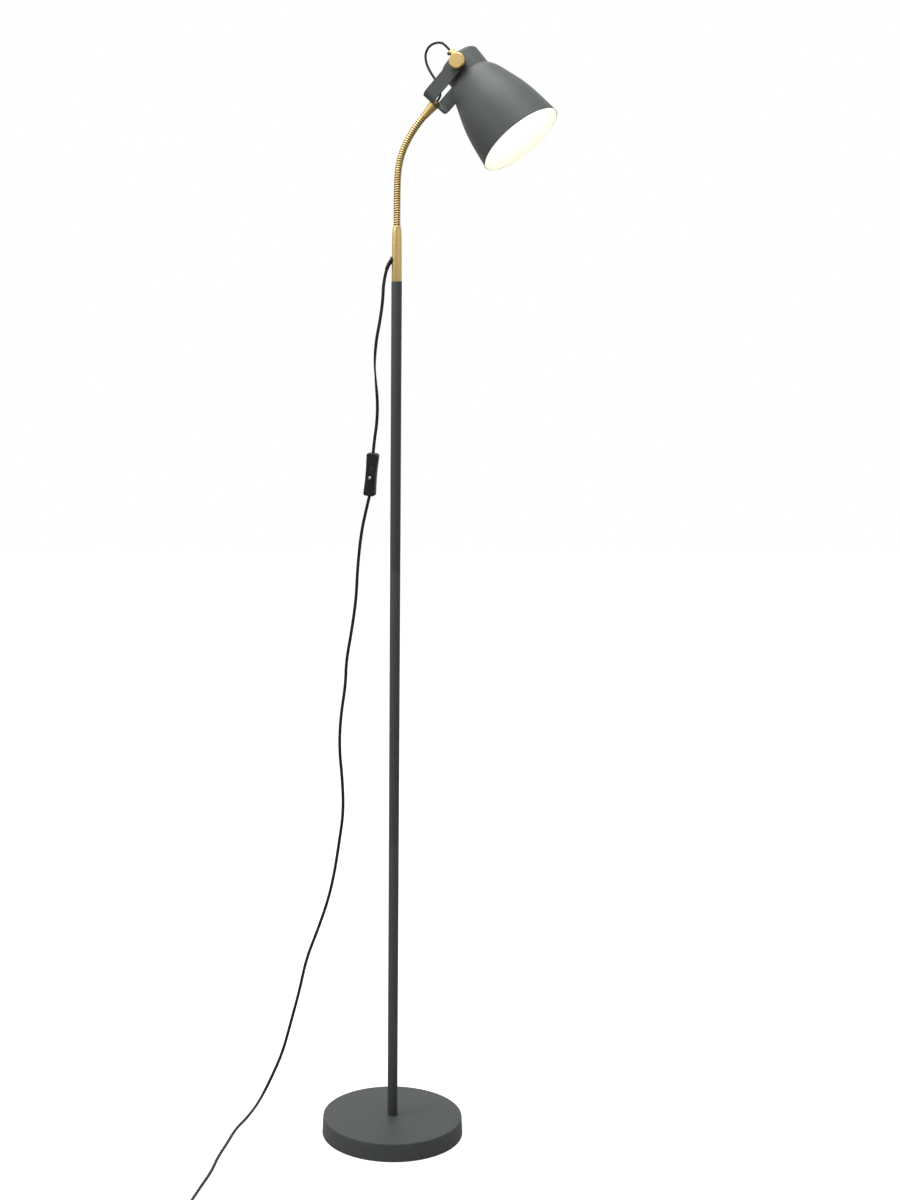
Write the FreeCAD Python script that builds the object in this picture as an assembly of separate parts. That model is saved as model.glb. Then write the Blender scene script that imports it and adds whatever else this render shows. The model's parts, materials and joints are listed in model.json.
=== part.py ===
import FreeCAD
import Part
import math
import os

# Gooseneck reading floor lamp: a weighted round foot, a three-piece pole, a brass sleeve, a
# ribbed brass gooseneck, a U-shaped yoke and a bell shade that tilts between two brass knobs.
# A mains cord leaves the sleeve, hangs with a rocker switch on it, and runs over the floor.
#
# Millimetres. The origin is the centre of the foot on the floor, +Z is up, +X is the side that
# the shade leans to and -Y is the front. Every sub-part is written to parts/NODE.step.

V = FreeCAD.Vector
X_AXIS, Y_AXIS, Z_AXIS = V(1, 0, 0), V(0, 1, 0), V(0, 0, 1)

# ---------------------------------------------------------------- driving dimensions
# Fits
PRESS_GAP = 0.02         # radial gap of a fixed pin, plug or thread in its hole
RUN_GAP = 0.05           # radial gap of a turning pin in its hole
SEAT_GAP = 0.02          # gap between faces that slide on each other
HOLE_GAP = 0.10          # radial gap of a screw in a through hole

# Foot
FOOT_D = 211.8           # outside, at the floor
FOOT_TOP_D = 209.0
FOOT_H = 28.5
FOOT_SKIN = 1.5
FOOT_EDGE_R = 1.8
FOOT_RIM_LIFT = 0.8      # steel rim above the floor
PAD_T = 2.0
PAD_INSET = 3.0
WEIGHT_T = 12.0
WEIGHT_GAP = 0.8
HUB_WALL = 14.0
POCKET_AROUND = 3.0      # room round the washer in the weight's pocket
POCKET_BELOW = 1.4       # room under the stud

# Threads
THREAD_R = 5.0           # M10 studs and nipples
FOOT_WASHER_R = 11.0
WASHER_T = 1.6
NUT_H = 8.0
NUT_FLATS = 17.0
STUD_TIP = 1.5           # thread that shows below the foot nut
LOCKNUT_FLATS = 14.0
LOCKNUT_H = 3.0

# Pole
POLE_D = 15.0
POLE_WALL = 1.2
POLE_LOWER_L = 421.7
POLE_MIDDLE_L = 410.9
POLE_UPPER_L = 410.7
PLUG_L = 16.0
POLE_STUD_L = 28.0

# Brass sleeve at the top of the pole
SLEEVE_L = 76.8
SLEEVE_STEP = 0.25       # its foot is this much inside the pole's outside
SLEEVE_WAIST_IN = 0.3
SLEEVE_SHOULDER_IN = 0.4
SLEEVE_TIP_STEP = 0.15   # its tip stands this much outside the neck
SLEEVE_WALL = 1.25
SLEEVE_WAIST_DROP = 24.8           # below its top
SLEEVE_SHOULDER_DROP = 11.8
SLEEVE_BULGE = 0.35
SLEEVE_THREAD_L = 16.0
NIPPLE_BORE_R = 3.4
NIPPLE_SHORT = 1.0       # the nipple ends this much before the end of the thread
NECK_PLUG_R = 4.4
NECK_PLUG_L = 20.0

# Gooseneck: rigid lengths of ribbed tube, hinged where two of them meet
SEGMENTS = 7
RIBS_PER_SEGMENT = 7
RIB_PITCH = 3.23
CREST_R = 5.1
GROOVE_R = 4.35
NECK_BORE_GAP = 0.5      # round the cable inside
NECK_AZIMUTH = -6.0                                  # degrees from +X, seen from above
NECK_TURNS = (0.0, 0.5, 2.5, 10.5, 12.0, 8.5, 7.2)   # degrees that each length bends at rest
HINGE_TURN = 14.0                                    # degrees each way at every hinge
HINGE_END_R = 3.5
CREST_START, CREST_END = 0.28, 0.72                  # share of the pitch
GROOVE_START, GROOVE_END = 0.08, 0.92
RIB_PROFILE = ((GROOVE_START, GROOVE_R), (CREST_START, CREST_R), (CREST_END, CREST_R), (GROOVE_END, GROOVE_R))
HINGE_ROOM = 0.012       # spare between two end rims at the limit of a hinge
FERRULE_L = 21.0
FERRULE_THIN_L = 4.0
FERRULE_THIN_STEP = 0.15
FERRULE_HOLLOW = 0.75    # its outside at half length, beyond the neck's outside
FERRULE_R = 7.2
FERRULE_THREAD_L = 8.0

# Yoke: a strip bent to a U
YOKE_T = 2.0
YOKE_W = 20.0
YOKE_BEND_R = 8.0        # inside
YOKE_PIVOT_H = 64.5      # pivot above the underside of the bridge
YOKE_EYE_R = 10.0
YOKE_SWIVEL = -16.1      # degrees about the end of the neck
YOKE_WASHER_R = 8.5
YOKE_WASHER_T = 1.0
YOKE_NUT_H = 3.0
BUSH_HEAD_R = 4.6
BUSH_HEAD_T = 1.2
BUSH_BODY_R = 3.3
BUSH_BODY_L = 7.0
NIPPLE_TIP = 0.4         # thread that shows above a nut

# Pivot
PIVOT_R = 2.95           # M6 thumb screws
PIVOT_EYE_GAP = 0.06
SCREW_SHORT = 0.6        # the screw ends this much inside its nut
WELD_NUT_R = 6.0
WELD_NUT_H = 5.0
INNER_WASHER_R = 8.5
INNER_WASHER_T = 1.9
OUTER_WASHER_R = 7.5
OUTER_WASHER_T = 1.0
KNOB_R = 11.0
KNOB_H = 8.5
KNOB_CHAMFER = 1.3
KNOB_FOOT_CHAMFER = 0.6
KNOB_HOLE_DEPTH = 6.0

# Shade; heights are along its axis, from the pivot towards the back
SHADE_TILT = -81.0                 # degrees of the shade's back from the yoke's arms
SHADE_T = 0.9
CAP_R = 30.2
CAP_TOP = 15.8
CAP_EDGE_R = 5.0
BELL_TOP = -15.5
MOUTH_R = 60.9
MOUTH_Z = -130.5
# Shares of the way from the cap to the mouth: outwards, and down
BELL_CURVE = ((0.231, 0.096), (0.401, 0.217), (0.704, 0.478), (0.886, 0.739))
SHADE_SCREW_GAP = 0.3

# Lampholder and lamp
GRIP_L = 18.0
GRIP_WALL = 1.2          # round the nipple
GRIP_NIPPLE_L = 10.0
GRIP_ROOF = 1.2
GRIP_R = 4.3
GRIP_CHAMFER = 0.6
GRIP_SCREW_DROP = 3.6    # below the grip's end
GRIP_SCREW_R = 1.6
GRIP_SCREW_HEAD_R = 2.3
GRIP_SCREW_OUT = 3.0
GRIP_SCREW_TURN = 225.0  # degrees about the grip, from the side that is up
HOLDER_R = 19.5
HOLDER_CAP_H = 17.0
HOLDER_SKIRT_H = 32.0
HOLDER_WALL = 2.2
HOLDER_SHOULDER = 5.0
HOLDER_HUB_WALL = 2.0
HOLDER_NIPPLE_IN = 6.0
HOLDER_CHAMFER = 1.0
SOCKET_R = 13.8
SOCKET_DEPTH = 28.0
SHELL_T = 0.3
SHELL_SHORT = 3.0        # the thread shell starts this much inside the socket
CONTACT_W = 6.0
CONTACT_T = 3.0
LAMP_CAP_GAP = 0.35      # round the lamp's cap in the thread shell
LAMP_CAP_L = 22.0
LAMP_SUNK = 20.0         # how far the lamp's cap goes into the socket
LAMP_SHOULDER = 2.5
LAMP_TIP_R = 5.0
LAMP_TIP_H = 2.0
COLLAR_STEP = 0.3
COLLAR_H = 10.0
COLLAR_R = 17.0
GLOBE_R = 22.5
GLOBE_T = 1.2

# Cords
CORD_D = 4.5
FLEX_D = 3.4
FLEX_GAP = 0.1
RELIEF_ROOT_WALL = 0.95  # round the cord
RELIEF_TIP_WALL = 0.35
RELIEF_ANGLE = 48.0      # degrees below level where it leaves the sleeve
RELIEF_BEND = 27.0       # degrees that it bends down
RELIEF_BEND_R = 32.0
RELIEF_RISE = 13.5       # its exit above the sleeve's thread
RELIEF_FLANGE_R = 5.0
RELIEF_FLANGE_OUT = 2.3

# Rocker switch on the cord; widths across, lengths along the cord
SWITCH_L = 62.0
SWITCH_W = 17.0
SWITCH_WAIST = 15.0
SWITCH_DEPTH = 12.0
SWITCH_WALL = 1.6
SWITCH_CORNER_R = 4.0
SWITCH_EDGE_R = 1.5
SWITCH_FACE_TURN = 15.6  # degrees that its face is turned from the front
SWITCH_MIDDLE = V(-34.8, 8.0, 998.4)
SWITCH_LEAN = V(5.1, -2.0, 61.8)   # along it, upwards
ROCKER_W = 7.2
ROCKER_L = 22.0
ROCKER_RISE = 2.0        # its middle above the middle of the switch
ROCKER_TRAVEL = 14.0     # degrees from one position to the other
ROCKER_AXLE_R = 1.2
ROCKER_DEPTH = 3.0       # its axle behind the switch's face
ROCKER_DISH = 0.3        # its middle behind the switch's face
ROCKER_PROUD = 1.1       # its ends before the switch's face
ROCKER_THICK = 2.6
ROCKER_END_ROOM = 0.6
ROCKER_SIDE_ROOM = 0.25
ROCKER_DOT_R = 1.7
ROCKER_DOT_DROP = 6.1
ROCKER_DOT_T = 1.2
CHEEK_ROOM = 0.3
CHEEK_T = 1.6
CHEEK_H = 6.0
BOSS_R = 2.8
SWITCH_SCREW_R = 1.25
SWITCH_SCREW_HEAD_R = 2.2
SWITCH_SCREW_HEAD_T = 1.0
SWITCH_SCREW_SUNK = 0.3
SWITCH_SCREW_AT = 24.0   # from the middle
TERMINAL_W, TERMINAL_T, TERMINAL_L = 3.0, 3.0, 9.0
TERMINAL_ACROSS = 3.1    # its middle from the switch's middle
TERMINAL_ALONG = 13.5

# Plug
PLUG_W = 34.0
PLUG_BODY_L = 33.0
PLUG_NECK_L = 22.0
PLUG_NECK_R = 4.4
PLUG_SHOULDER_L = 15.0
PLUG_SHOULDER_W = 5.5
PLUG_SHOULDER_R = 3.0
PLUG_EDGE_R = 1.2
PIN_R = 2.0
PIN_L = 19.0
PIN_ROOT_L = 8.0
PIN_TIP_R = 1.2
PIN_SPACING = 18.6

# Coil of the put-away cord, on the floor
COIL_CENTRE = V(-259.0, -293.0, 0)
COIL_R = 29.0            # middle of its outermost turn
COIL_GAP = 0.45          # from one turn or layer to the next
COIL_IN_TURNS = 1.5
COIL_OUT_TURNS = 1.25
COIL_DIP = 1.1           # extra closing of the turn that climbs
COIL_SAMPLES = 24        # points measured on each of its arcs

# Cord routes, chosen by hand. The mains cord hangs from the sleeve to the switch ...
CORD_UPPER_ROUTE = (
    (-19.4, 0.2, 1245.0), (-23.2, 0.8, 1217.0), (-28.6, 1.4, 1189.5), (-30.9, 2.2, 1158.0),
    (-28.9, 3.0, 1132.0), (-26.2, 4.2, 1102.0), (-26.9, 5.4, 1074.0))
# ... and from the switch to the floor, which it meets behind and left of the foot.
CORD_LOWER_ROUTE = (
    (-41.2, 10.0, 951.0), (-49.2, 11.0, 914.0), (-54.4, 13.2, 862.0), (-56.2, 15.0, 817.0),
    (-62.6, 17.2, 770.0), (-70.9, 19.0, 722.0), (-71.6, 20.4, 688.0), (-79.0, 22.6, 638.0),
    (-81.0, 24.6, 590.0), (-76.4, 26.6, 543.0), (-74.6, 29.0, 492.0), (-81.8, 31.6, 441.0),
    (-88.0, 34.0, 398.0), (-97.6, 36.0, 354.0), (-113.4, 39.4, 306.0), (-131.2, 42.6, 258.0),
    (-141.8, 46.0, 206.0), (-155.2, 51.0, 154.0), (-168.2, 56.6, 103.0), (-187.0, 63.0, 57.0),
    (-205.6, 67.0, 17.5), (-223.0, 43.0, 2.6), (-237.4, 6.0, 2.25), (-246.6, -44.0, 2.25),
    (-257.0, -92.0, 2.25), (-262.4, -138.0, 2.25), (-272.6, -182.0, 2.25), (-281.0, -220.0, 2.25),
    (-288.0, -256.0, 2.25))
# The head cable's loop lies in the middle plane of the yoke: (across, along its arms).
HEAD_LOOP = ((0.0, 12.2), (-4.0, 18.2), (-12.8, 23.4), (-24.8, 27.4), (-37.4, 30.4), (-48.6, 35.0),
             (-57.6, 42.2), (-61.4, 50.4), (-60.8, 59.2), (-54.8, 67.8))
LOOP_END_RUN = 12.0      # straight into the grip
CORD_TOP_RUN = 16.0      # straight out of the relief, and into the switch

# ---------------------------------------------------------------- helpers
nodes = []


def save(name, *shapes):
    """Write one sub-part, one solid or a group of solids, to its STEP file."""
    shape = shapes[0] if len(shapes) == 1 else Part.makeCompound(list(shapes))
    if not shape.isValid():
        raise ValueError(name + " is not valid")
    shape.exportStep("parts/%s.step" % name)
    nodes.append(name)
    print("%-24s %d solid(s) %12.1f mm3" % (name, len(shape.Solids), shape.Volume))
    return shape


def placed(shape, placement):
    """A copy of the shape, moved from its own frame to where the placement says."""
    copy = shape.copy()
    copy.Placement = placement.multiply(copy.Placement)
    return copy


def frame(origin, z_dir, x_dir):
    """Placement with its own Z along z_dir and its own X as near to x_dir as it can be."""
    z = V(z_dir).normalize()
    x = (x_dir - z * x_dir.dot(z)).normalize()
    y = z.cross(x)
    matrix = FreeCAD.Matrix(x.x, y.x, z.x, origin.x, x.y, y.y, z.y, origin.y,
                            x.z, y.z, z.z, origin.z, 0, 0, 0, 1)
    return FreeCAD.Placement(matrix)


def rod(radius, z0, z1):
    return Part.makeCylinder(radius, z1 - z0, V(0, 0, z0))


def ring(outer_r, inner_r, z0, z1):
    return rod(outer_r, z0, z1).cut(rod(inner_r, z0 - 1, z1 + 1))


def hexagon(flats, z0, z1):
    radius = flats / math.sqrt(3)
    corners = [V(radius * math.cos(math.radians(60 * i)), radius * math.sin(math.radians(60 * i)), z0)
               for i in range(7)]
    return Part.Face(Part.makePolygon(corners)).extrude(V(0, 0, z1 - z0))


def hex_nut(flats, inner_r, z0, z1):
    return hexagon(flats, z0, z1).cut(rod(inner_r, z0 - 1, z1 + 1))


def outline(points):
    """Closed wire in the XZ plane. A point with a third item is one that an arc passes through."""
    edges = []
    here, via = points[0], None
    for point in list(points[1:]) + [points[0]]:
        if len(point) == 3:
            via = point
            continue
        start, end = V(here[0], 0, here[1]), V(point[0], 0, point[1])
        if via:
            edges.append(Part.Arc(start, V(via[0], 0, via[1]), end).toShape())
        else:
            edges.append(Part.LineSegment(start, end).toShape())
        here, via = point, None
    return Part.Wire(edges)


def turned(points):
    """Solid of revolution about Z; the points are (radius, height)."""
    return Part.Face(outline(points)).revolve(V(0, 0, 0), Z_AXIS, 360)


def corner(cx, cz, radius, angle):
    """Point of a rounded corner, marked as one that an arc passes through."""
    return (cx + radius * math.cos(math.radians(angle)), cz + radius * math.sin(math.radians(angle)), 0)


def rounded_route(points, label):
    """Wire of straight runs joined by tangent arcs, as large as the two runs allow."""
    points = [V(p) for p in points]
    edges, here, radii = [], points[0], []
    for before, at, after in zip(points, points[1:], points[2:]):
        run_in, run_out = at - before, after - at
        half_turn = run_in.getAngle(run_out) / 2
        reach = 0.45 * min(run_in.Length, run_out.Length)
        u, v = V(run_in).normalize(), V(run_out).normalize()
        start, end = at - u * reach, at + v * reach
        inward = (v - u).normalize()
        radius = reach / math.tan(half_turn)
        middle = at + inward * (radius / math.cos(half_turn) - radius)
        edges.append(Part.LineSegment(here, start).toShape())
        edges.append(Part.Arc(start, middle, end).toShape())
        here = end
        radii.append(radius)
    edges.append(Part.LineSegment(here, points[-1]).toShape())
    print("%s: least arc radius %.1f" % (label, min(radii)))
    return edges


def hose(edges, diameter, label):
    """Round tube along a smooth chain of edges; prints its volume against section times length."""
    wire = Part.Wire(edges)
    start = wire.OrderedVertexes[0].Point
    tangent = edges[0].tangentAt(edges[0].FirstParameter)
    section = Part.Wire(Part.Circle(start, tangent, diameter / 2).toShape())
    solid = wire.makePipeShell([section], True, False)
    expected = wire.Length * math.pi * diameter ** 2 / 4
    print("%s: length %.0f, volume %.4f of section times length" % (label, wire.Length, solid.Volume / expected))
    return solid


def join_arc(p0, tangent, p1):
    """The arc that leaves p0 along the tangent and ends at p1."""
    chord = p1 - p0
    half_turn = chord.getAngle(tangent)
    if half_turn < 1e-6:
        return Part.LineSegment(p0, p1).toShape()
    bulge = (tangent - chord * (tangent.dot(chord) / chord.dot(chord))).normalize()
    middle = (p0 + p1) * 0.5 + bulge * (chord.Length / 2 * math.tan(half_turn / 2))
    return Part.Arc(p0, middle, p1).toShape()


def biarc(p0, t0, p1, t1):
    """Two tangent arcs from p0 along t0 to p1 along t1."""
    chord, sum_t = p1 - p0, t0 + t1
    a = 2 * (1 - t0.dot(t1))
    b = chord.dot(sum_t)
    reach = (-b + math.sqrt(b * b + a * chord.dot(chord))) / a if a > 1e-9 else chord.dot(chord) / (4 * chord.dot(t1))
    middle = (p0 + p1 + (t0 - t1) * reach) * 0.5
    first = join_arc(p0, t0, middle)
    return [first, join_arc(middle, first.tangentAt(first.LastParameter), p1)]


# ---------------------------------------------------------------- foot
SHELF_Z = FOOT_H - FOOT_SKIN                  # underside of the cover's top
WEIGHT_R = FOOT_TOP_D / 2 - FOOT_SKIN - WEIGHT_GAP
NUT_POCKET_R = FOOT_WASHER_R + POCKET_AROUND
POCKET_TOP = PAD_T + POCKET_BELOW + STUD_TIP + NUT_H + WASHER_T
HUB_R = NUT_POCKET_R + HUB_WALL
POLE_R = POLE_D / 2
POLE_BORE_R = POLE_R - POLE_WALL
STUD_HOLE_R = THREAD_R + HOLE_GAP
STUD_FIT_R = THREAD_R + PRESS_GAP


def make_foot():
    rim_r, top_r = FOOT_D / 2, FOOT_TOP_D / 2
    edge = FOOT_EDGE_R
    inner_edge = edge - FOOT_SKIN
    cover = turned([
        (STUD_HOLE_R, SHELF_Z), (STUD_HOLE_R, FOOT_H), (top_r - edge, FOOT_H),
        corner(top_r - edge, FOOT_H - edge, edge, 45), (top_r, FOOT_H - edge),
        (rim_r, FOOT_RIM_LIFT), (rim_r - FOOT_SKIN, FOOT_RIM_LIFT),
        (top_r - FOOT_SKIN, FOOT_H - edge),
        corner(top_r - edge, FOOT_H - edge, inner_edge, 45), (top_r - edge, SHELF_Z)])
    save("foot_cover", cover)
    weight = turned([
        (STUD_HOLE_R, POCKET_TOP), (STUD_HOLE_R, SHELF_Z), (HUB_R, SHELF_Z), (HUB_R, PAD_T + WEIGHT_T),
        (WEIGHT_R, PAD_T + WEIGHT_T), (WEIGHT_R, PAD_T), (NUT_POCKET_R, PAD_T), (NUT_POCKET_R, POCKET_TOP)])
    save("foot_weight", weight)
    save("foot_pad", rod(WEIGHT_R - PAD_INSET, 0, PAD_T))
    nut_top = POCKET_TOP - WASHER_T
    save("foot_washer", ring(FOOT_WASHER_R, STUD_HOLE_R, nut_top, POCKET_TOP))
    save("foot_nut", hex_nut(NUT_FLATS, STUD_FIT_R, nut_top - NUT_H, nut_top))
    save("foot_stud", rod(THREAD_R, nut_top - NUT_H - STUD_TIP, FOOT_H + PLUG_L))


# ---------------------------------------------------------------- pole
SEAM_LOW = FOOT_H + POLE_LOWER_L
SEAM_HIGH = SEAM_LOW + POLE_MIDDLE_L
POLE_TOP = SEAM_HIGH + POLE_UPPER_L


def make_pole():
    ends = (FOOT_H, SEAM_LOW, SEAM_HIGH, POLE_TOP)
    for name, low, high in zip(("pole_lower", "pole_middle", "pole_upper"), ends, ends[1:]):
        save(name, ring(POLE_R, POLE_BORE_R, low, high))
    plug = ring(POLE_BORE_R - PRESS_GAP, STUD_FIT_R, 0, PLUG_L)
    plug_feet = []
    for low, high in zip(ends, ends[1:]):
        plug_feet += [low, high - PLUG_L]
    save("pole_plugs", *[plug.translated(V(0, 0, z)) for z in plug_feet])
    stud = rod(THREAD_R, -POLE_STUD_L / 2, POLE_STUD_L / 2)
    save("pole_studs", *[stud.translated(V(0, 0, z)) for z in (SEAM_LOW, SEAM_HIGH)])
    nipple_top = POLE_TOP + SLEEVE_THREAD_L - NIPPLE_SHORT
    save("sleeve_nipple", ring(THREAD_R, NIPPLE_BORE_R, POLE_TOP - PLUG_L, nipple_top))


# ---------------------------------------------------------------- sleeve and its cord relief
NECK_Z = POLE_TOP + SLEEVE_L
PLUG_FOOT = SLEEVE_L - NECK_PLUG_L
CORD_R = CORD_D / 2
FLEX_R = FLEX_D / 2
NECK_BORE_R = FLEX_R + NECK_BORE_GAP
SLEEVE_FOOT_R = POLE_R - SLEEVE_STEP
SLEEVE_WAIST_R = SLEEVE_FOOT_R - SLEEVE_WAIST_IN
SLEEVE_SHOULDER_R = SLEEVE_WAIST_R - SLEEVE_SHOULDER_IN
SLEEVE_TIP_R = CREST_R + SLEEVE_TIP_STEP
SLEEVE_BORE_R = SLEEVE_WAIST_R - SLEEVE_WALL
SLEEVE_WAIST_Z = SLEEVE_L - SLEEVE_WAIST_DROP
SLEEVE_SHOULDER_Z = SLEEVE_L - SLEEVE_SHOULDER_DROP
RELIEF_ROOT_R = CORD_R + RELIEF_ROOT_WALL
RELIEF_TIP_R = CORD_R + RELIEF_TIP_WALL
SKIN_SLOPE = (SLEEVE_FOOT_R - SLEEVE_WAIST_R) / SLEEVE_WAIST_Z
RELIEF_Z = POLE_TOP + SLEEVE_THREAD_L + RELIEF_RISE
RELIEF_SKIN_R = SLEEVE_FOOT_R - SKIN_SLOPE * (RELIEF_Z - POLE_TOP)      # outside of the sleeve there


def relief_direction(bent):
    """Direction of the cord relief's axis, so many degrees after it leaves the sleeve."""
    angle = math.radians(RELIEF_ANGLE + bent)
    return V(-math.cos(angle), 0, -math.sin(angle))


def relief_point(bent):
    """Point of the cord relief's axis, so many degrees along its bend."""
    start, now = math.radians(RELIEF_ANGLE), math.radians(RELIEF_ANGLE + bent)
    return V(-RELIEF_SKIN_R - RELIEF_BEND_R * (math.sin(now) - math.sin(start)), 0,
             RELIEF_Z - RELIEF_BEND_R * (math.cos(start) - math.cos(now)))


RELIEF_MOUTH = relief_point(RELIEF_BEND)
RELIEF_MOUTH_DIR = relief_direction(RELIEF_BEND)
RELIEF_IN = (RELIEF_SKIN_R - SLEEVE_BORE_R / 2 - SLEEVE_WALL / 2) / math.cos(math.radians(RELIEF_ANGLE))
RELIEF_IN_END = relief_point(0) - relief_direction(0) * RELIEF_IN


def make_sleeve():
    bend = ((SLEEVE_SHOULDER_R + SLEEVE_TIP_R) / 2 + SLEEVE_BULGE, (SLEEVE_SHOULDER_Z + SLEEVE_L) / 2, 0)
    body = turned([
        (STUD_FIT_R, 0), (SLEEVE_FOOT_R, 0), (SLEEVE_WAIST_R, SLEEVE_WAIST_Z),
        (SLEEVE_SHOULDER_R, SLEEVE_SHOULDER_Z), bend, (SLEEVE_TIP_R, SLEEVE_L),
        (NECK_PLUG_R + PRESS_GAP, SLEEVE_L), (NECK_PLUG_R + PRESS_GAP, PLUG_FOOT),
        (SLEEVE_BORE_R, PLUG_FOOT), (SLEEVE_BORE_R, SLEEVE_THREAD_L), (STUD_FIT_R, SLEEVE_THREAD_L)])
    body.translate(V(0, 0, POLE_TOP))
    inner = frame(RELIEF_IN_END, relief_direction(0), Y_AXIS)
    hole = placed(rod(RELIEF_ROOT_R + PRESS_GAP, 0, 2 * RELIEF_IN), inner)
    save("sleeve", body.cut(hole))
    sections = []
    for share in (0.0, 0.25, 0.5, 0.75, 1.0):
        radius = RELIEF_ROOT_R + (RELIEF_TIP_R - RELIEF_ROOT_R) * share
        loop = Part.Wire(Part.Circle(V(0, 0, 0), Z_AXIS, radius).toShape())
        bent = RELIEF_BEND * share
        sections.append(placed(loop, frame(relief_point(bent), relief_direction(bent), Y_AXIS)))
    bend = Part.makeLoft(sections, True, True)
    root = placed(rod(RELIEF_ROOT_R, 0, RELIEF_IN), inner)
    skin = turned([(0, 0), (SLEEVE_FOOT_R + SEAT_GAP, 0), (SLEEVE_WAIST_R + SEAT_GAP, SLEEVE_WAIST_Z),
                   (0, SLEEVE_WAIST_Z)])
    flange = Part.makeCylinder(RELIEF_FLANGE_R, RELIEF_SKIN_R + RELIEF_FLANGE_OUT, V(0, 0, RELIEF_Z), V(-1, 0, 0))
    flange = flange.cut(skin.translated(V(0, 0, POLE_TOP)))
    save("cord_relief", root.fuse([bend, flange]).removeSplitter())
    plug = ring(NECK_PLUG_R, NECK_BORE_R, 0, NECK_PLUG_L)
    save("neck_plug", plug.translated(V(0, 0, NECK_Z - NECK_PLUG_L)))


# ---------------------------------------------------------------- gooseneck
SEGMENT_L = RIBS_PER_SEGMENT * RIB_PITCH
HINGE_GAP = HINGE_END_R * math.tan(math.radians(HINGE_TURN / 2)) + HINGE_ROOM
NECK_OUT = V(math.cos(math.radians(NECK_AZIMUTH)), math.sin(math.radians(NECK_AZIMUTH)), 0)
NECK_SIDE = Z_AXIS.cross(NECK_OUT)                   # axis that the neck bends about


class NeckLength:
    """One rigid length of the gooseneck: an arc in the plane of Z and NECK_OUT."""

    def __init__(self, start, heading, turn):
        self.start, self.heading, self.turn = start, heading, turn

    def at(self, s):
        """Point and direction at the distance s along the length."""
        before = self.heading
        after = before + self.turn * s / SEGMENT_L
        if self.turn:
            radius = SEGMENT_L / self.turn
            out, up = radius * (math.cos(before) - math.cos(after)), radius * (math.sin(after) - math.sin(before))
        else:
            out, up = s * math.sin(before), s * math.cos(before)
        return self.start + NECK_OUT * out + Z_AXIS * up, NECK_OUT * math.sin(after) + Z_AXIS * math.cos(after)

    def circle(self, s, radius):
        """Circle square to the length at s; its X axis stays along NECK_SIDE."""
        point, direction = self.at(s)
        loop = Part.Wire(Part.Circle(V(0, 0, 0), Z_AXIS, radius).toShape())
        return placed(loop, frame(point, direction, NECK_SIDE))


def neck_lengths():
    lengths, point, heading = [], V(0, 0, NECK_Z), 0.0
    for degrees in NECK_TURNS:
        turn = math.radians(degrees)
        length = NeckLength(point, heading, turn)
        lengths.append(length)
        point, heading = length.at(SEGMENT_L)[0], heading + turn
    return lengths


NECK = neck_lengths()
NECK_END, NECK_DIR = NECK[-1].at(SEGMENT_L)


def neck_segment(index):
    """Ribbed length: four circles to each rib, and a necked end wherever a hinge is."""
    length = NECK[index]
    stations = []
    for rib in range(RIBS_PER_SEGMENT):
        for share, radius in RIB_PROFILE:
            stations.append([(rib + share) * RIB_PITCH, radius])
    stations[0] = [HINGE_GAP, HINGE_END_R] if index > 0 else [0, GROOVE_R]
    stations[-1] = [SEGMENT_L - HINGE_GAP, HINGE_END_R] if index < SEGMENTS - 1 else [SEGMENT_L, GROOVE_R]
    skin = Part.makeLoft([length.circle(s, radius) for s, radius in stations], True, True)
    stations = [rib * RIB_PITCH for rib in range(RIBS_PER_SEGMENT + 1)]
    bore = Part.makeLoft([length.circle(at, NECK_BORE_R) for at in stations], True, True)
    return skin.cut(bore)


def make_neck():
    for index in range(SEGMENTS):
        save("neck_segment_%d" % (index + 1), neck_segment(index))
    thread_foot = FERRULE_L - FERRULE_THREAD_L
    ferrule = turned([
        (NECK_BORE_R, 0), (CREST_R, 0), (CREST_R + FERRULE_THIN_STEP, FERRULE_THIN_L),
        (CREST_R + FERRULE_HOLLOW, FERRULE_L / 2, 0), (FERRULE_R, FERRULE_L),
        (STUD_FIT_R, FERRULE_L), (STUD_FIT_R, thread_foot), (NECK_BORE_R, thread_foot)])
    save("neck_ferrule", placed(ferrule, frame(NECK_END, NECK_DIR, NECK_SIDE)))
    for index in range(1, SEGMENTS):
        point, direction = NECK[index].at(0)
        sway = direction.cross(NECK_SIDE)
        print("hinge %d at" % index, [round(c, 3) for c in point], "sway axis", [round(c, 6) for c in sway])
    print("bend axis", [round(c, 6) for c in NECK_SIDE])


# ---------------------------------------------------------------- yoke
YOKE_FOOT = NECK_END + NECK_DIR * FERRULE_L
PIVOT_DIR = FreeCAD.Rotation(NECK_DIR, YOKE_SWIVEL).multVec(NECK_SIDE)      # from the front arm to the back one
PIVOT = YOKE_FOOT + NECK_DIR * YOKE_PIVOT_H
YOKE_ACROSS = PIVOT_DIR.cross(NECK_DIR)
YOKE_FRAME = frame(YOKE_FOOT, NECK_DIR, YOKE_ACROSS)                         # own Y runs along PIVOT_DIR
ARM_IN = CAP_R + INNER_WASHER_T + 2 * SEAT_GAP                                # inner face of an arm
ARM_OUT = ARM_IN + YOKE_T
EYE_R = PIVOT_R + PIVOT_EYE_GAP


def u_shape(half_width, foot, bend_r, top):
    """Block that fills a U of the given half width, down to its foot, with two round corners."""
    side = half_width - bend_r
    profile = outline([(-half_width, top), (-half_width, foot + bend_r), corner(-side, foot + bend_r, bend_r, 225),
                       (-side, foot), (side, foot), corner(side, foot + bend_r, bend_r, 315),
                       (half_width, foot + bend_r), (half_width, top)])
    block = Part.Face(profile).extrude(V(0, YOKE_W, 0))
    block.translate(V(0, -YOKE_W / 2, 0))
    return placed(block, FreeCAD.Placement(V(0, 0, 0), FreeCAD.Rotation(Z_AXIS, 90)))


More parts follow.
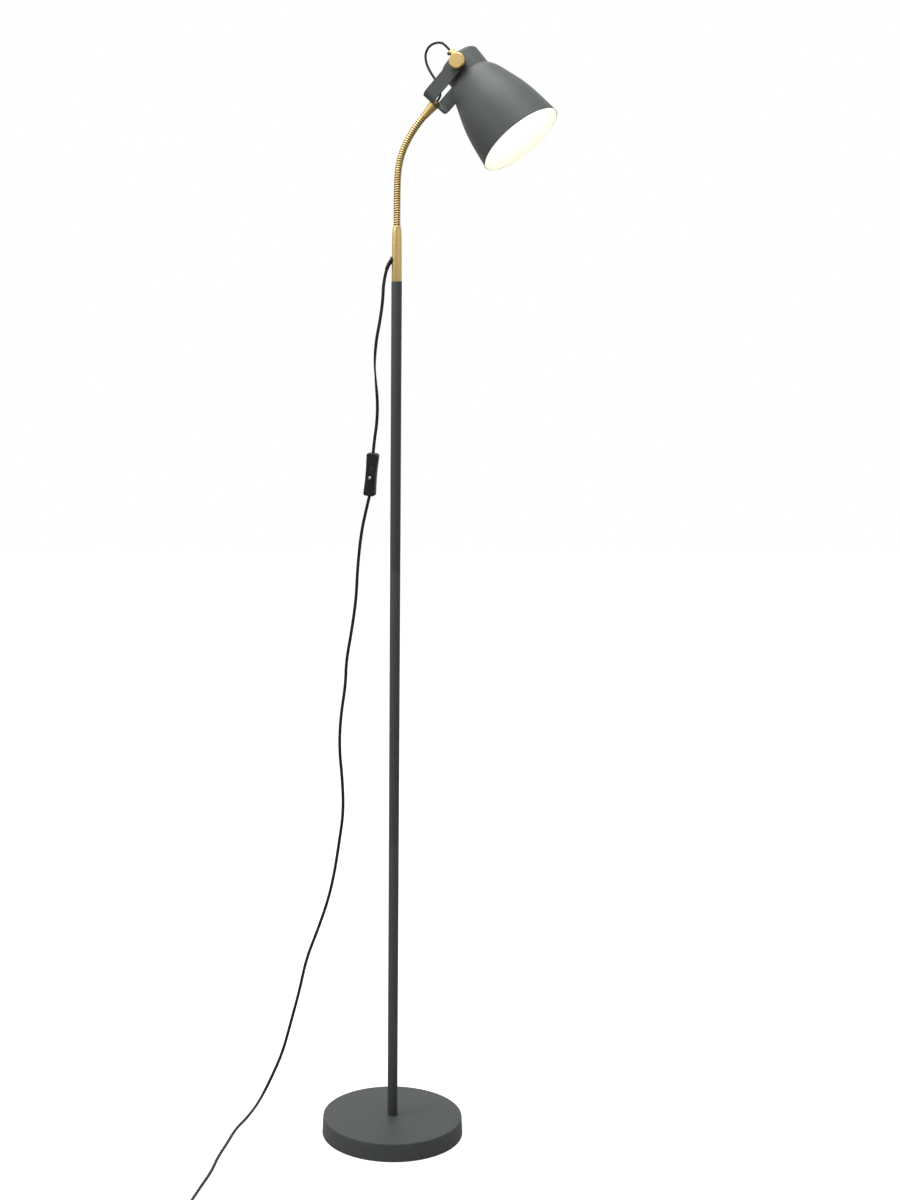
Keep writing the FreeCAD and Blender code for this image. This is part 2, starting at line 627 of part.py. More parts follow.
def make_yoke():
    top = YOKE_PIVOT_H + YOKE_EYE_R
    strip = u_shape(ARM_OUT, 0, YOKE_BEND_R + YOKE_T, top).cut(u_shape(ARM_IN, YOKE_T, YOKE_BEND_R, top + 1))
    half = YOKE_W / 2
    arm_face = Part.Face(outline([(-half, -1), (-half, YOKE_PIVOT_H), (0, YOKE_PIVOT_H + YOKE_EYE_R, 0),
                                  (half, YOKE_PIVOT_H), (half, -1)]))
    arms = arm_face.extrude(V(0, 4 * ARM_OUT, 0)).translated(V(0, -2 * ARM_OUT, 0))
    pivot_hole = Part.makeCylinder(EYE_R, 4 * ARM_OUT, V(0, -2 * ARM_OUT, YOKE_PIVOT_H), Y_AXIS)
    strip = strip.common(arms).cut(pivot_hole).cut(rod(STUD_HOLE_R, -1, YOKE_T + 1))
    save("yoke", placed(strip, YOKE_FRAME))
    washer_top = YOKE_T + YOKE_WASHER_T
    nut_top = washer_top + YOKE_NUT_H
    nipple_top = nut_top + NIPPLE_TIP
    save("yoke_washer", placed(ring(YOKE_WASHER_R, STUD_HOLE_R, YOKE_T, washer_top), YOKE_FRAME))
    save("yoke_nut", placed(hex_nut(LOCKNUT_FLATS, STUD_FIT_R, washer_top, nut_top), YOKE_FRAME))
    nipple = ring(THREAD_R, BUSH_BODY_R + PRESS_GAP, PRESS_GAP - FERRULE_THREAD_L, nipple_top)
    save("yoke_nipple", placed(nipple, YOKE_FRAME))
    bush = turned([(FLEX_R + FLEX_GAP, nipple_top - BUSH_BODY_L), (BUSH_BODY_R, nipple_top - BUSH_BODY_L),
                   (BUSH_BODY_R, nipple_top), (BUSH_HEAD_R, nipple_top), (BUSH_HEAD_R - 0.8, nipple_top + BUSH_HEAD_T),
                   (FLEX_R + FLEX_GAP, nipple_top + BUSH_HEAD_T)])
    save("yoke_bush", placed(bush, YOKE_FRAME))
    return nipple_top + BUSH_HEAD_T


# ---------------------------------------------------------------- pivot: knobs, screws, washers
def pivot_side(sign):
    """Frame at the pivot that looks outwards: sign -1 is the front arm, +1 the back one."""
    return frame(PIVOT, PIVOT_DIR * sign, NECK_DIR)


def make_pivot():
    knob_foot = ARM_OUT + OUTER_WASHER_T + 2 * SEAT_GAP
    knob_top = knob_foot + KNOB_H
    hole_top = knob_foot + KNOB_HOLE_DEPTH
    knob = turned([
        (PIVOT_R + PRESS_GAP, knob_foot), (KNOB_R - KNOB_FOOT_CHAMFER, knob_foot),
        (KNOB_R, knob_foot + KNOB_FOOT_CHAMFER),
        (KNOB_R, knob_top - KNOB_CHAMFER), (KNOB_R - KNOB_CHAMFER, knob_top), (0, knob_top),
        (0, hole_top), (PIVOT_R + PRESS_GAP, hole_top)])
    inner_washer = ring(INNER_WASHER_R, EYE_R, ARM_IN - INNER_WASHER_T, ARM_IN)
    outer_washer = ring(OUTER_WASHER_R, EYE_R, ARM_OUT, ARM_OUT + OUTER_WASHER_T)
    nut_outer = math.sqrt((CAP_R - SHADE_T) ** 2 - WELD_NUT_R ** 2)
    nut_inner = nut_outer - WELD_NUT_H
    weld_nut = ring(WELD_NUT_R, PIVOT_R + RUN_GAP, nut_inner, nut_outer - SEAT_GAP)
    screw = rod(PIVOT_R, nut_inner + SCREW_SHORT, hole_top - PRESS_GAP)
    sides = {"front": pivot_side(-1), "back": pivot_side(1)}
    for side, place in sides.items():
        save("knob_" + side, placed(knob, place))
        save("pivot_screw_" + side, placed(screw, place))
    save("pivot_inner_washers", *[placed(inner_washer, place) for place in sides.values()])
    save("pivot_outer_washers", *[placed(outer_washer, place) for place in sides.values()])
    save("shade_weld_nuts", *[placed(weld_nut, place) for place in sides.values()])
    print("knob top", round(knob_top, 2))


# ---------------------------------------------------------------- shade
SHADE_BACK = FreeCAD.Rotation(PIVOT_DIR, SHADE_TILT).multVec(NECK_DIR)       # from the mouth to the cap
SHADE_FRAME = frame(PIVOT, SHADE_BACK, PIVOT_DIR.cross(SHADE_BACK))          # own Y runs along PIVOT_DIR


def bell_edge(points):
    curve = Part.BSplineCurve()
    curve.interpolate([V(r, 0, z) for r, z in points])
    return curve.toShape()


def inset(points, depth):
    """The points of a bell's curve, moved inwards square to the curve."""
    moved = []
    for i, (r, z) in enumerate(points):
        r0, z0 = points[max(i - 1, 0)]
        r1, z1 = points[min(i + 1, len(points) - 1)]
        run = math.hypot(r1 - r0, z1 - z0)
        moved.append((r + (z1 - z0) / run * depth, z - (r1 - r0) / run * depth))
    return moved


def make_shade():
    out, down = MOUTH_R - CAP_R, MOUTH_Z - BELL_TOP
    shares = ((0, 0),) + BELL_CURVE + ((1, 1),)
    outer = [(CAP_R + out * a, BELL_TOP + down * b) for a, b in shares]
    inner = inset(outer, SHADE_T)
    inner[0] = (CAP_R - SHADE_T, BELL_TOP - SHADE_T * 0.5)
    inner[-1] = (MOUTH_R - SHADE_T, MOUTH_Z)
    inner_top, edge_z = CAP_TOP - SHADE_T, CAP_TOP - CAP_EDGE_R
    flat_r = CAP_R - CAP_EDGE_R

    def cap_side(radius, edge_r, top, bell_start):
        bend = corner(flat_r, edge_z, edge_r, 45)
        return [Part.LineSegment(V(STUD_HOLE_R, 0, top), V(flat_r, 0, top)).toShape(),
                Part.Arc(V(flat_r, 0, top), V(bend[0], 0, bend[1]), V(radius, 0, edge_z)).toShape(),
                Part.LineSegment(V(radius, 0, edge_z), V(bell_start[0], 0, bell_start[1])).toShape()]

    lip = Part.Arc(V(MOUTH_R, 0, MOUTH_Z), V(MOUTH_R - SHADE_T / 2, 0, MOUTH_Z - SHADE_T / 2),
                   V(MOUTH_R - SHADE_T, 0, MOUTH_Z)).toShape()
    hole_wall = Part.LineSegment(V(STUD_HOLE_R, 0, CAP_TOP), V(STUD_HOLE_R, 0, inner_top)).toShape()
    edges = cap_side(CAP_R, CAP_EDGE_R, CAP_TOP, outer[0]) + [bell_edge(outer), lip, bell_edge(inner)]
    edges += cap_side(CAP_R - SHADE_T, CAP_EDGE_R - SHADE_T, inner_top, inner[0]) + [hole_wall]
    profile = Part.Face(Part.Wire(Part.__sortEdges__(edges)))
    shell = profile.revolve(V(0, 0, 0), Z_AXIS, 360)
    screw_holes = Part.makeCylinder(PIVOT_R + SHADE_SCREW_GAP, 4 * CAP_R, V(0, -2 * CAP_R, 0), Y_AXIS)
    save("shade", placed(shell.cut(screw_holes), SHADE_FRAME))


# Heights of the lampholder's pieces along the shade's axis
UNDER_CAP = CAP_TOP - SHADE_T
NIPPLE_TOP = CAP_TOP + GRIP_NIPPLE_L
HOLDER_TOP = UNDER_CAP - LOCKNUT_H
HOLDER_MID = HOLDER_TOP - HOLDER_CAP_H
HOLDER_FOOT = HOLDER_MID - HOLDER_SKIRT_H
NIPPLE_FOOT = HOLDER_TOP - HOLDER_NIPPLE_IN
LAMP_TOP = HOLDER_FOOT + LAMP_SUNK
LAMP_CAP_FOOT = LAMP_TOP - LAMP_CAP_L
SOCKET_TOP = HOLDER_FOOT + SOCKET_DEPTH
FLEX_BORE = FLEX_R + FLEX_GAP


def make_grip():
    grip_r, grip_top = THREAD_R + GRIP_WALL, CAP_TOP + GRIP_L
    neck_z = NIPPLE_TOP + GRIP_ROOF
    body = turned([
        (STUD_FIT_R, CAP_TOP), (grip_r, CAP_TOP), (grip_r, neck_z - GRIP_CHAMFER), (grip_r - GRIP_CHAMFER, neck_z),
        (GRIP_R, neck_z), (GRIP_R, grip_top - GRIP_CHAMFER), (GRIP_R - GRIP_CHAMFER, grip_top),
        (FLEX_BORE, grip_top), (FLEX_BORE, NIPPLE_TOP), (STUD_FIT_R, NIPPLE_TOP)])
    place = FreeCAD.Placement(V(0, 0, grip_top - GRIP_SCREW_DROP), FreeCAD.Rotation(Z_AXIS, GRIP_SCREW_TURN))
    hole = placed(Part.makeCylinder(GRIP_SCREW_R + PRESS_GAP, 2 * grip_r, V(0, 0, 0), X_AXIS), place)
    save("grip", placed(body.cut(hole), SHADE_FRAME))
    head_foot, shank_foot = GRIP_R + SEAT_GAP, FLEX_BORE + SEAT_GAP
    shank = Part.makeCylinder(GRIP_SCREW_R, head_foot - shank_foot + GRIP_SCREW_OUT / 2, V(shank_foot, 0, 0), X_AXIS)
    head = Part.makeCylinder(GRIP_SCREW_HEAD_R, GRIP_SCREW_OUT, V(head_foot, 0, 0), X_AXIS)
    save("grip_screw", placed(placed(shank.fuse(head).removeSplitter(), place), SHADE_FRAME))


def make_holder():
    nipple = ring(THREAD_R, BUSH_BODY_R, NIPPLE_FOOT, NIPPLE_TOP - PRESS_GAP)
    save("holder_nipple", placed(nipple, SHADE_FRAME))
    save("holder_locknut", placed(hex_nut(LOCKNUT_FLATS, STUD_FIT_R, HOLDER_TOP, UNDER_CAP), SHADE_FRAME))
    round_r, inner_r, hub_r = HOLDER_SHOULDER, HOLDER_R - HOLDER_WALL, STUD_FIT_R + HOLDER_HUB_WALL
    roof = HOLDER_TOP - HOLDER_WALL
    cap = turned([
        (STUD_FIT_R, HOLDER_TOP), (HOLDER_R - round_r, HOLDER_TOP),
        corner(HOLDER_R - round_r, HOLDER_TOP - round_r, round_r, 45), (HOLDER_R, HOLDER_TOP - round_r),
        (HOLDER_R, HOLDER_MID), (inner_r, HOLDER_MID), (inner_r, HOLDER_TOP - round_r), (inner_r - round_r, roof),
        (hub_r, roof), (hub_r, NIPPLE_FOOT), (STUD_FIT_R, NIPPLE_FOOT)])
    save("holder_cap", placed(cap, SHADE_FRAME))
    body = turned([
        (0, HOLDER_MID), (HOLDER_R, HOLDER_MID), (HOLDER_R, HOLDER_FOOT + HOLDER_CHAMFER),
        (HOLDER_R - HOLDER_CHAMFER, HOLDER_FOOT), (SOCKET_R, HOLDER_FOOT), (SOCKET_R, SOCKET_TOP), (0, SOCKET_TOP)])
    save("holder_body", placed(body, SHADE_FRAME))
    shell = ring(SOCKET_R - PRESS_GAP, SOCKET_R - SHELL_T, HOLDER_FOOT + SHELL_SHORT, SOCKET_TOP - PRESS_GAP)
    save("holder_thread_shell", placed(shell, SHADE_FRAME))
    contact_foot = LAMP_TOP + LAMP_TIP_H + SEAT_GAP
    contact = Part.makeBox(CONTACT_W, CONTACT_T, SOCKET_TOP - SEAT_GAP - contact_foot,
                           V(-CONTACT_W / 2, -CONTACT_T / 2, contact_foot))
    save("holder_centre_contact", placed(contact, SHADE_FRAME))


def make_lamp():
    cap_r = SOCKET_R - SHELL_T - LAMP_CAP_GAP
    tip = LAMP_TOP + LAMP_TIP_H
    lamp_cap = turned([(0, LAMP_CAP_FOOT), (cap_r, LAMP_CAP_FOOT), (cap_r, LAMP_TOP - LAMP_SHOULDER),
                       (LAMP_TIP_R, LAMP_TOP), (LAMP_TIP_R - 1, tip), (0, tip)])
    save("lamp_cap", placed(lamp_cap, SHADE_FRAME))
    collar_foot = LAMP_CAP_FOOT - COLLAR_H
    collar = turned([(0, collar_foot), (COLLAR_R, collar_foot), (cap_r + COLLAR_STEP, LAMP_CAP_FOOT),
                     (0, LAMP_CAP_FOOT)])
    save("lamp_collar", placed(collar, SHADE_FRAME))
    middle = collar_foot - math.sqrt(GLOBE_R ** 2 - (COLLAR_R - COLLAR_STEP) ** 2)
    centre = V(0, 0, middle)
    globe = Part.makeSphere(GLOBE_R, centre).cut(Part.makeSphere(GLOBE_R - GLOBE_T, centre))
    globe = globe.cut(rod(2 * GLOBE_R, collar_foot, middle + 2 * GLOBE_R))
    save("lamp_globe", placed(globe, SHADE_FRAME))
    print("lamp foot", round(middle - GLOBE_R, 1), "mouth", MOUTH_Z)


# ---------------------------------------------------------------- cables inside and at the head
def make_cables(bush_top):
    start = RELIEF_IN_END - relief_direction(0) * PRESS_GAP
    turn_at = V(0, 0, start.z + math.tan(math.radians(RELIEF_ANGLE)) * -start.x)
    edges = rounded_route([start, turn_at, V(0, 0, NECK_Z)], "neck cable")
    for length in NECK:
        ends = [length.at(SEGMENT_L * share)[0] for share in (0, 0.5, 1)]
        edges.append(Part.Arc(*ends).toShape() if length.turn else Part.LineSegment(ends[0], ends[2]).toShape())
    bush_end = YOKE_FOOT + NECK_DIR * bush_top
    edges.append(Part.LineSegment(NECK_END, bush_end).toShape())
    save("neck_cable", hose(edges, FLEX_D, "neck cable"))
    loop = [YOKE_FOOT + YOKE_ACROSS * across + NECK_DIR * along for across, along in HEAD_LOOP]
    grip_end = PIVOT + SHADE_BACK * (CAP_TOP + GRIP_L)
    route = [bush_end] + loop + [grip_end + SHADE_BACK * LOOP_END_RUN, PIVOT + SHADE_BACK * (NIPPLE_FOOT + FLEX_R)]
    save("head_cable", hose(rounded_route(route, "head cable"), FLEX_D, "head cable"))


# ---------------------------------------------------------------- switch
SWITCH_UP = V(SWITCH_LEAN).normalize()
SWITCH_RIGHT = FreeCAD.Rotation(Z_AXIS, -SWITCH_FACE_TURN).multVec(X_AXIS)
SWITCH_FRAME = frame(SWITCH_MIDDLE, SWITCH_UP, SWITCH_RIGHT)                 # own -Y is its face
SWITCH_TOP = SWITCH_MIDDLE + SWITCH_UP * (SWITCH_L / 2)
SWITCH_BOTTOM = SWITCH_MIDDLE - SWITCH_UP * (SWITCH_L / 2)


def switch_block(margin, y0, y1):
    """Block with the switch's waisted outline, drawn in by the margin."""
    half_l, half_w, waist = SWITCH_L / 2 - margin, SWITCH_W / 2 - margin, SWITCH_WAIST / 2 - margin
    r = SWITCH_CORNER_R - margin * 0.5
    face = Part.Face(outline([
        (-half_w + r, half_l), (half_w - r, half_l), corner(half_w - r, half_l - r, r, 45), (half_w, half_l - r),
        (waist, 0, 0), (half_w, -half_l + r), corner(half_w - r, -half_l + r, r, -45), (half_w - r, -half_l),
        (-half_w + r, -half_l), corner(-half_w + r, -half_l + r, r, -135), (-half_w, -half_l + r),
        (-waist, 0, 0), (-half_w, half_l - r), corner(-half_w + r, half_l - r, r, 135)]))
    return face.extrude(V(0, y1 - y0, 0)).translated(V(0, y0, 0))


def along_y(radius, y0, y1, z):
    return Part.makeCylinder(radius, y1 - y0, V(0, y0, z), Y_AXIS)


def soft_edges(block, y, radius):
    """The block with the edges of its face at y rounded."""
    edges = [e for e in block.Edges if all(abs(v.Point.y - y) < 1e-6 for v in e.Vertexes)]
    return block.makeFillet(radius, edges)


SWITCH_HALF = SWITCH_DEPTH / 2
SWITCH_FLOOR = SWITCH_HALF - SWITCH_WALL          # inside of its back and of its face
CHEEK_IN = ROCKER_W / 2 + CHEEK_ROOM
AXLE_Y = ROCKER_DEPTH - SWITCH_HALF


def across_x(radius, half_length):
    """Rod along the rocker's axle."""
    return Part.makeCylinder(radius, 2 * half_length, V(-half_length, AXLE_Y, ROCKER_RISE), X_AXIS)


def make_switch_case():
    half, floor, wall = SWITCH_HALF, SWITCH_FLOOR, SWITCH_WALL
    base = soft_edges(switch_block(0, 0, half), half, SWITCH_EDGE_R).cut(switch_block(wall, -1, floor))
    cover = soft_edges(switch_block(0, -half, 0), -half, SWITCH_EDGE_R).cut(switch_block(wall, -floor, 1))
    head_seat = half - SWITCH_SCREW_SUNK - SWITCH_SCREW_HEAD_T
    screws = []
    for z in (-SWITCH_SCREW_AT, SWITCH_SCREW_AT):
        base = base.fuse(along_y(BOSS_R, SEAT_GAP, floor + wall / 2, z))
        base = base.cut(along_y(SWITCH_SCREW_R + HOLE_GAP, -1, half + 1, z))
        base = base.cut(along_y(SWITCH_SCREW_HEAD_R + HOLE_GAP, head_seat, half + 1, z))
        cover = cover.fuse(along_y(BOSS_R, -floor - wall / 2, 0, z))
        cover = cover.cut(along_y(SWITCH_SCREW_R + PRESS_GAP, -floor, 1, z))
        shank = along_y(SWITCH_SCREW_R, -floor + wall / 2, head_seat + SWITCH_SCREW_HEAD_T / 2, z)
        head = along_y(SWITCH_SCREW_HEAD_R, head_seat + SEAT_GAP, half - SWITCH_SCREW_SUNK, z)
        screws.append(placed(shank.fuse(head).removeSplitter(), SWITCH_FRAME))
    cheek_depth = floor + wall / 2 + AXLE_Y + 2 * ROCKER_AXLE_R
    for x in (-CHEEK_IN - CHEEK_T, CHEEK_IN):
        foot = V(x, -floor - wall / 2, ROCKER_RISE - CHEEK_H / 2)
        cover = cover.fuse(Part.makeBox(CHEEK_T, cheek_depth, CHEEK_H, foot))
    window_w, window_l = ROCKER_W + 2 * ROCKER_SIDE_ROOM, ROCKER_L + 2 * ROCKER_END_ROOM
    window = Part.makeBox(window_w, half, window_l, V(-window_w / 2, -half - 1, ROCKER_RISE - window_l / 2))
    axle_hole = across_x(ROCKER_AXLE_R + RUN_GAP, 2 * CHEEK_IN).common(switch_block(wall, -floor, 0))
    cover = cover.cut(window).cut(axle_hole)
    save("switch_base", placed(base.removeSplitter(), SWITCH_FRAME))
    save("switch_cover", placed(cover.removeSplitter(), SWITCH_FRAME))
    save("switch_screws", *screws)
    terminals = []
    for x in (-TERMINAL_ACROSS, TERMINAL_ACROSS):
        for z in (-TERMINAL_ALONG, TERMINAL_ALONG):
            foot = V(x - TERMINAL_W / 2, floor - SEAT_GAP - TERMINAL_T, z - TERMINAL_L / 2)
            terminals.append(placed(Part.makeBox(TERMINAL_W, TERMINAL_T, TERMINAL_L, foot), SWITCH_FRAME))
    save("switch_terminals", *terminals)


def make_rocker():
    """A shallow V with an axle through it, rocked so that its upper end is pressed in."""
    face = -SWITCH_HALF
    end, dish, crown, back = ROCKER_L / 2, face + ROCKER_DISH, face - ROCKER_PROUD, face + ROCKER_THICK
    lip, rib = ROCKER_PROUD / 2, ROCKER_AXLE_R * 2.5
    side = [(crown, end - lip), (crown + lip, end), (back, end - lip / 2), (back + lip * 2, rib)]
    profile = [V(0, dish, 0)] + [V(0, y, z) for y, z in side] + [V(0, y, -z) for y, z in reversed(side)] + [V(0, dish, 0)]
    block = Part.Face(Part.makePolygon(profile)).extrude(V(ROCKER_W, 0, 0))
    block = block.translated(V(-ROCKER_W / 2, 0, ROCKER_RISE))
    rocker = block.fuse(across_x(ROCKER_AXLE_R, CHEEK_IN + CHEEK_T - ROCKER_SIDE_ROOM)).removeSplitter()
    dot = along_y(ROCKER_DOT_R, crown, crown + ROCKER_DOT_T, ROCKER_RISE - ROCKER_DOT_DROP)
    turn = FreeCAD.Rotation(X_AXIS, -ROCKER_TRAVEL / 2)
    rock = FreeCAD.Placement(V(0, 0, 0), turn, V(0, AXLE_Y, ROCKER_RISE))
    save("rocker", placed(placed(rocker.cut(dot), rock), SWITCH_FRAME))
    save("rocker_dot", placed(placed(dot, rock), SWITCH_FRAME))
    print("rocker axle", [round(c, 3) for c in SWITCH_FRAME.multVec(V(0, AXLE_Y, ROCKER_RISE))],
          "axis", [round(c, 6) for c in SWITCH_FRAME.Rotation.multVec(X_AXIS)])


# ---------------------------------------------------------------- mains cord, coil and plug
COIL_STEP = CORD_D + COIL_GAP
EXIT_Z = CORD_R + COIL_STEP                   # height of the coil's upper layer


def coil_point(angle):
    """Point of the coil's middle line after so many radians: in below, round and up, out on top."""
    first = COIL_IN_TURNS * 2 * math.pi
    climb_end = first + math.pi
    step = COIL_STEP / (2 * math.pi)
    least = COIL_R - step * first
    if angle <= first:
        radius, z = COIL_R - step * angle, CORD_R
    elif angle <= climb_end:
        share = (angle - first) / math.pi
        radius = least - COIL_DIP * math.sin(math.pi * share)
        z = CORD_R + COIL_STEP * share * share * (3 - 2 * share)
    else:
        radius, z = least + step * (angle - climb_end), EXIT_Z
    turn = math.pi + angle
    return COIL_CENTRE + V(radius * math.cos(turn), radius * math.sin(turn), z)


def make_coil():
    quarters = int(round((COIL_IN_TURNS + 0.5 + COIL_OUT_TURNS) * 4))
    angles = [i * math.pi / 2 for i in range(quarters + 1)]
    points = [coil_point(a) for a in angles]
    tangents = [(coil_point(a + 1e-4) - coil_point(a - 1e-4)).normalize() for a in angles]
    tangents[0], tangents[-1] = V(0, -1, 0), V(1, 0, 0)
    lead_in = points[0] - tangents[0] * CORD_D
    lead_out = points[-1] + tangents[-1] * (COIL_R + CORD_D)
    edges = [Part.LineSegment(lead_in, points[0]).toShape()]
    for i in range(quarters):
        edges += biarc(points[i], tangents[i], points[i + 1], tangents[i + 1])
    edges.append(Part.LineSegment(points[-1], lead_out).toShape())
    save("cord_coil", hose(edges, CORD_D, "coil"))
    line, along = [], []
    for edge in edges:
        start = along[-1] + (line[-1] - edge.valueAt(edge.FirstParameter)).Length if line else 0.0
        share = edge.Length / COIL_SAMPLES
        line += edge.discretize(Number=COIL_SAMPLES + 1)[:-1]
        along += [start + share * i for i in range(COIL_SAMPLES)]
    least = min((a - b).Length for i, a in enumerate(line) for j, b in enumerate(line[:i])
                if along[i] - along[j] > 4 * CORD_D)
    print("coil: least gap between its turns %.2f" % (least - CORD_D))
    return lead_in, lead_out


def make_plug(at):
    """Flat two-pin plug on the floor; its own Z runs from the cord to the pins."""
    half, neck_w, round_r = PLUG_W / 2, PLUG_SHOULDER_W, PLUG_SHOULDER_R
    front, shoulder = PLUG_NECK_L + PLUG_BODY_L, PLUG_NECK_L + PLUG_SHOULDER_L
    corner_x, corner_z = half - round_r, shoulder
    neck = turned([(0, 0), (RELIEF_TIP_R, 0), (PLUG_NECK_R, PLUG_NECK_L), (0, PLUG_NECK_L)])
    face = Part.Face(outline([
        (-neck_w, PLUG_NECK_L - round_r), (neck_w, PLUG_NECK_L - round_r), (corner_x, corner_z - round_r),
        corner(corner_x, corner_z, round_r, -45), (half, corner_z), (half, front), (-half, front),
        (-half, corner_z), corner(-corner_x, corner_z, round_r, -135), (-corner_x, corner_z - round_r)]))
    body = face.extrude(V(0, 2 * EXIT_Z, 0)).translated(V(0, -EXIT_Z, 0))
    long_edges = [e for e in body.Edges if abs(e.Vertexes[0].Point.y - e.Vertexes[-1].Point.y) < 1e-6]
    shell = body.makeFillet(PLUG_EDGE_R, long_edges).fuse(neck).removeSplitter()
    root, pins = front - PIN_ROOT_L, []
    for x in (-PIN_SPACING / 2, PIN_SPACING / 2):
        shell = shell.cut(Part.makeCylinder(PIN_R + PRESS_GAP, PIN_ROOT_L + 1, V(x, 0, root)))
        pin = Part.makeCylinder(PIN_R, PIN_ROOT_L + PIN_L - PRESS_GAP, V(x, 0, root + PRESS_GAP))
        tip = [e for e in pin.Edges if e.BoundBox.ZMin > front]
        pins.append(pin.makeFillet(PIN_TIP_R, tip))
    place = frame(at, X_AXIS, Y_AXIS)
    save("plug_body", placed(shell, place))
    save("plug_pins", *[placed(p, place) for p in pins])


def make_cord():
    upper = [RELIEF_MOUTH, RELIEF_MOUTH + RELIEF_MOUTH_DIR * CORD_TOP_RUN] + list(CORD_UPPER_ROUTE)
    upper += [SWITCH_TOP + SWITCH_UP * CORD_TOP_RUN, SWITCH_TOP]
    save("cord_upper", hose(rounded_route(upper, "cord, upper"), CORD_D, "cord, upper"))
    lead_in, lead_out = make_coil()
    lower = [SWITCH_BOTTOM] + list(CORD_LOWER_ROUTE) + [lead_in]
    save("cord_lower", hose(rounded_route(lower, "cord, lower"), CORD_D, "cord, lower"))
    make_plug(lead_out)


# ---------------------------------------------------------------- build
def main():
    os.makedirs("parts", exist_ok=True)
    make_foot()
    make_pole()
    make_sleeve()
    make_neck()
    bush_top = make_yoke()
    make_pivot()
    make_shade()
    make_grip()
    make_holder()
    make_lamp()
    make_cables(bush_top)
    make_switch_case()
    make_rocker()
    make_cord()
    for name, point in (("yoke foot", YOKE_FOOT), ("pivot", PIVOT), ("pivot axis", PIVOT_DIR),
                        ("shade back", SHADE_BACK), ("neck end direction", NECK_DIR), ("across", YOKE_ACROSS)):
        print(name, [round(c, 5) for c in point])
    print(len(nodes), "nodes")


main()
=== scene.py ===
"""Looks of a gooseneck reading floor lamp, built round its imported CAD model.

The lamp has a powder-coated foot, pole, yoke and bell shade, a turned brass sleeve, a wound brass
gooseneck, two brass knobs and a flat black twin flex with a rocker switch on it. Sizes are in
millimetres and turn to metres where a mesh is made. Every place comes from the CAD model's
driving dimensions or from its joints, so each piece lies exactly where its node does.
"""
from __future__ import annotations

import json
import logging
import math
from dataclasses import dataclass
from enum import Enum
from typing import Iterable, Sequence

import bmesh
import bpy
import numpy as np
from mathutils import Matrix, Vector

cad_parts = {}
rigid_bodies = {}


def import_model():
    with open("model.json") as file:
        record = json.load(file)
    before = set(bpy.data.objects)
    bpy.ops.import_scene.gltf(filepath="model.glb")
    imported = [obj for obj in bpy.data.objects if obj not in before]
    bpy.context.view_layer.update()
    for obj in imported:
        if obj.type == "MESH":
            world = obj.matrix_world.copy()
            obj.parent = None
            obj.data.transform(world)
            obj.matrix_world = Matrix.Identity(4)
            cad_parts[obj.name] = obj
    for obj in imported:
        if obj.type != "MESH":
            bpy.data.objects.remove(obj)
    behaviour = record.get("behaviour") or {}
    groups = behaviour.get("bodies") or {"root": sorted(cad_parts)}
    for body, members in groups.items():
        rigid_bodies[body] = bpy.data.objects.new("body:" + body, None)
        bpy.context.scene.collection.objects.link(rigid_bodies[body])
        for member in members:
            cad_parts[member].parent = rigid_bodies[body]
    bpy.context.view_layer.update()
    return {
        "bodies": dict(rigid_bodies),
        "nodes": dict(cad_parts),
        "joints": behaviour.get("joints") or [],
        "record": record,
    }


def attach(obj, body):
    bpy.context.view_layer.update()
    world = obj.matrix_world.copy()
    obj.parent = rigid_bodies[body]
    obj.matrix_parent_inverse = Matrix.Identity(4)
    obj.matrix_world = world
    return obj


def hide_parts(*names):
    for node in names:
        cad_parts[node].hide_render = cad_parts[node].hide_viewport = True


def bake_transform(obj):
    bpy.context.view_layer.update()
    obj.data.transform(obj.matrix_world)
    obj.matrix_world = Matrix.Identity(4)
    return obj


LOG = logging.getLogger("floor_lamp")
MM = 0.001
X_AXIS, _, Z_AXIS = np.eye(3)
Tree, Socket, Material = bpy.types.NodeTree, bpy.types.NodeSocket, bpy.types.Material


# ---- vectors and frames
def unit(vector: Sequence[float]) -> np.ndarray:
    """The vector at length one."""
    array = np.asarray(vector, float)
    return array / np.linalg.norm(array)


@dataclass(frozen=True)
class Place:
    """A sub-assembly's own frame in the row frame: its origin in millimetres and its axes."""

    origin: np.ndarray
    x: np.ndarray
    y: np.ndarray
    z: np.ndarray

    @classmethod
    def along(cls, origin: Sequence[float], z_dir: np.ndarray, x_dir: np.ndarray) -> "Place":
        """Frame with its own Z along z_dir and its own X as near to x_dir as it can be.

        Args:
            origin: its origin, in millimetres.
            z_dir: direction of its Z.
            x_dir: direction that its X stays near.

        Returns:
            The frame.
        """
        z = unit(z_dir)
        x = unit(x_dir - z * (z @ x_dir))
        return cls(np.asarray(origin, float), x, np.cross(z, x), z)

    def put(self, points: np.ndarray) -> np.ndarray:
        """Points of this frame, an array whose last axis is x, y, z, in the row frame."""
        return self.origin + np.asarray(points, float) @ np.stack([self.x, self.y, self.z])


UPRIGHT = Place.along((0, 0, 0), Z_AXIS, X_AXIS)


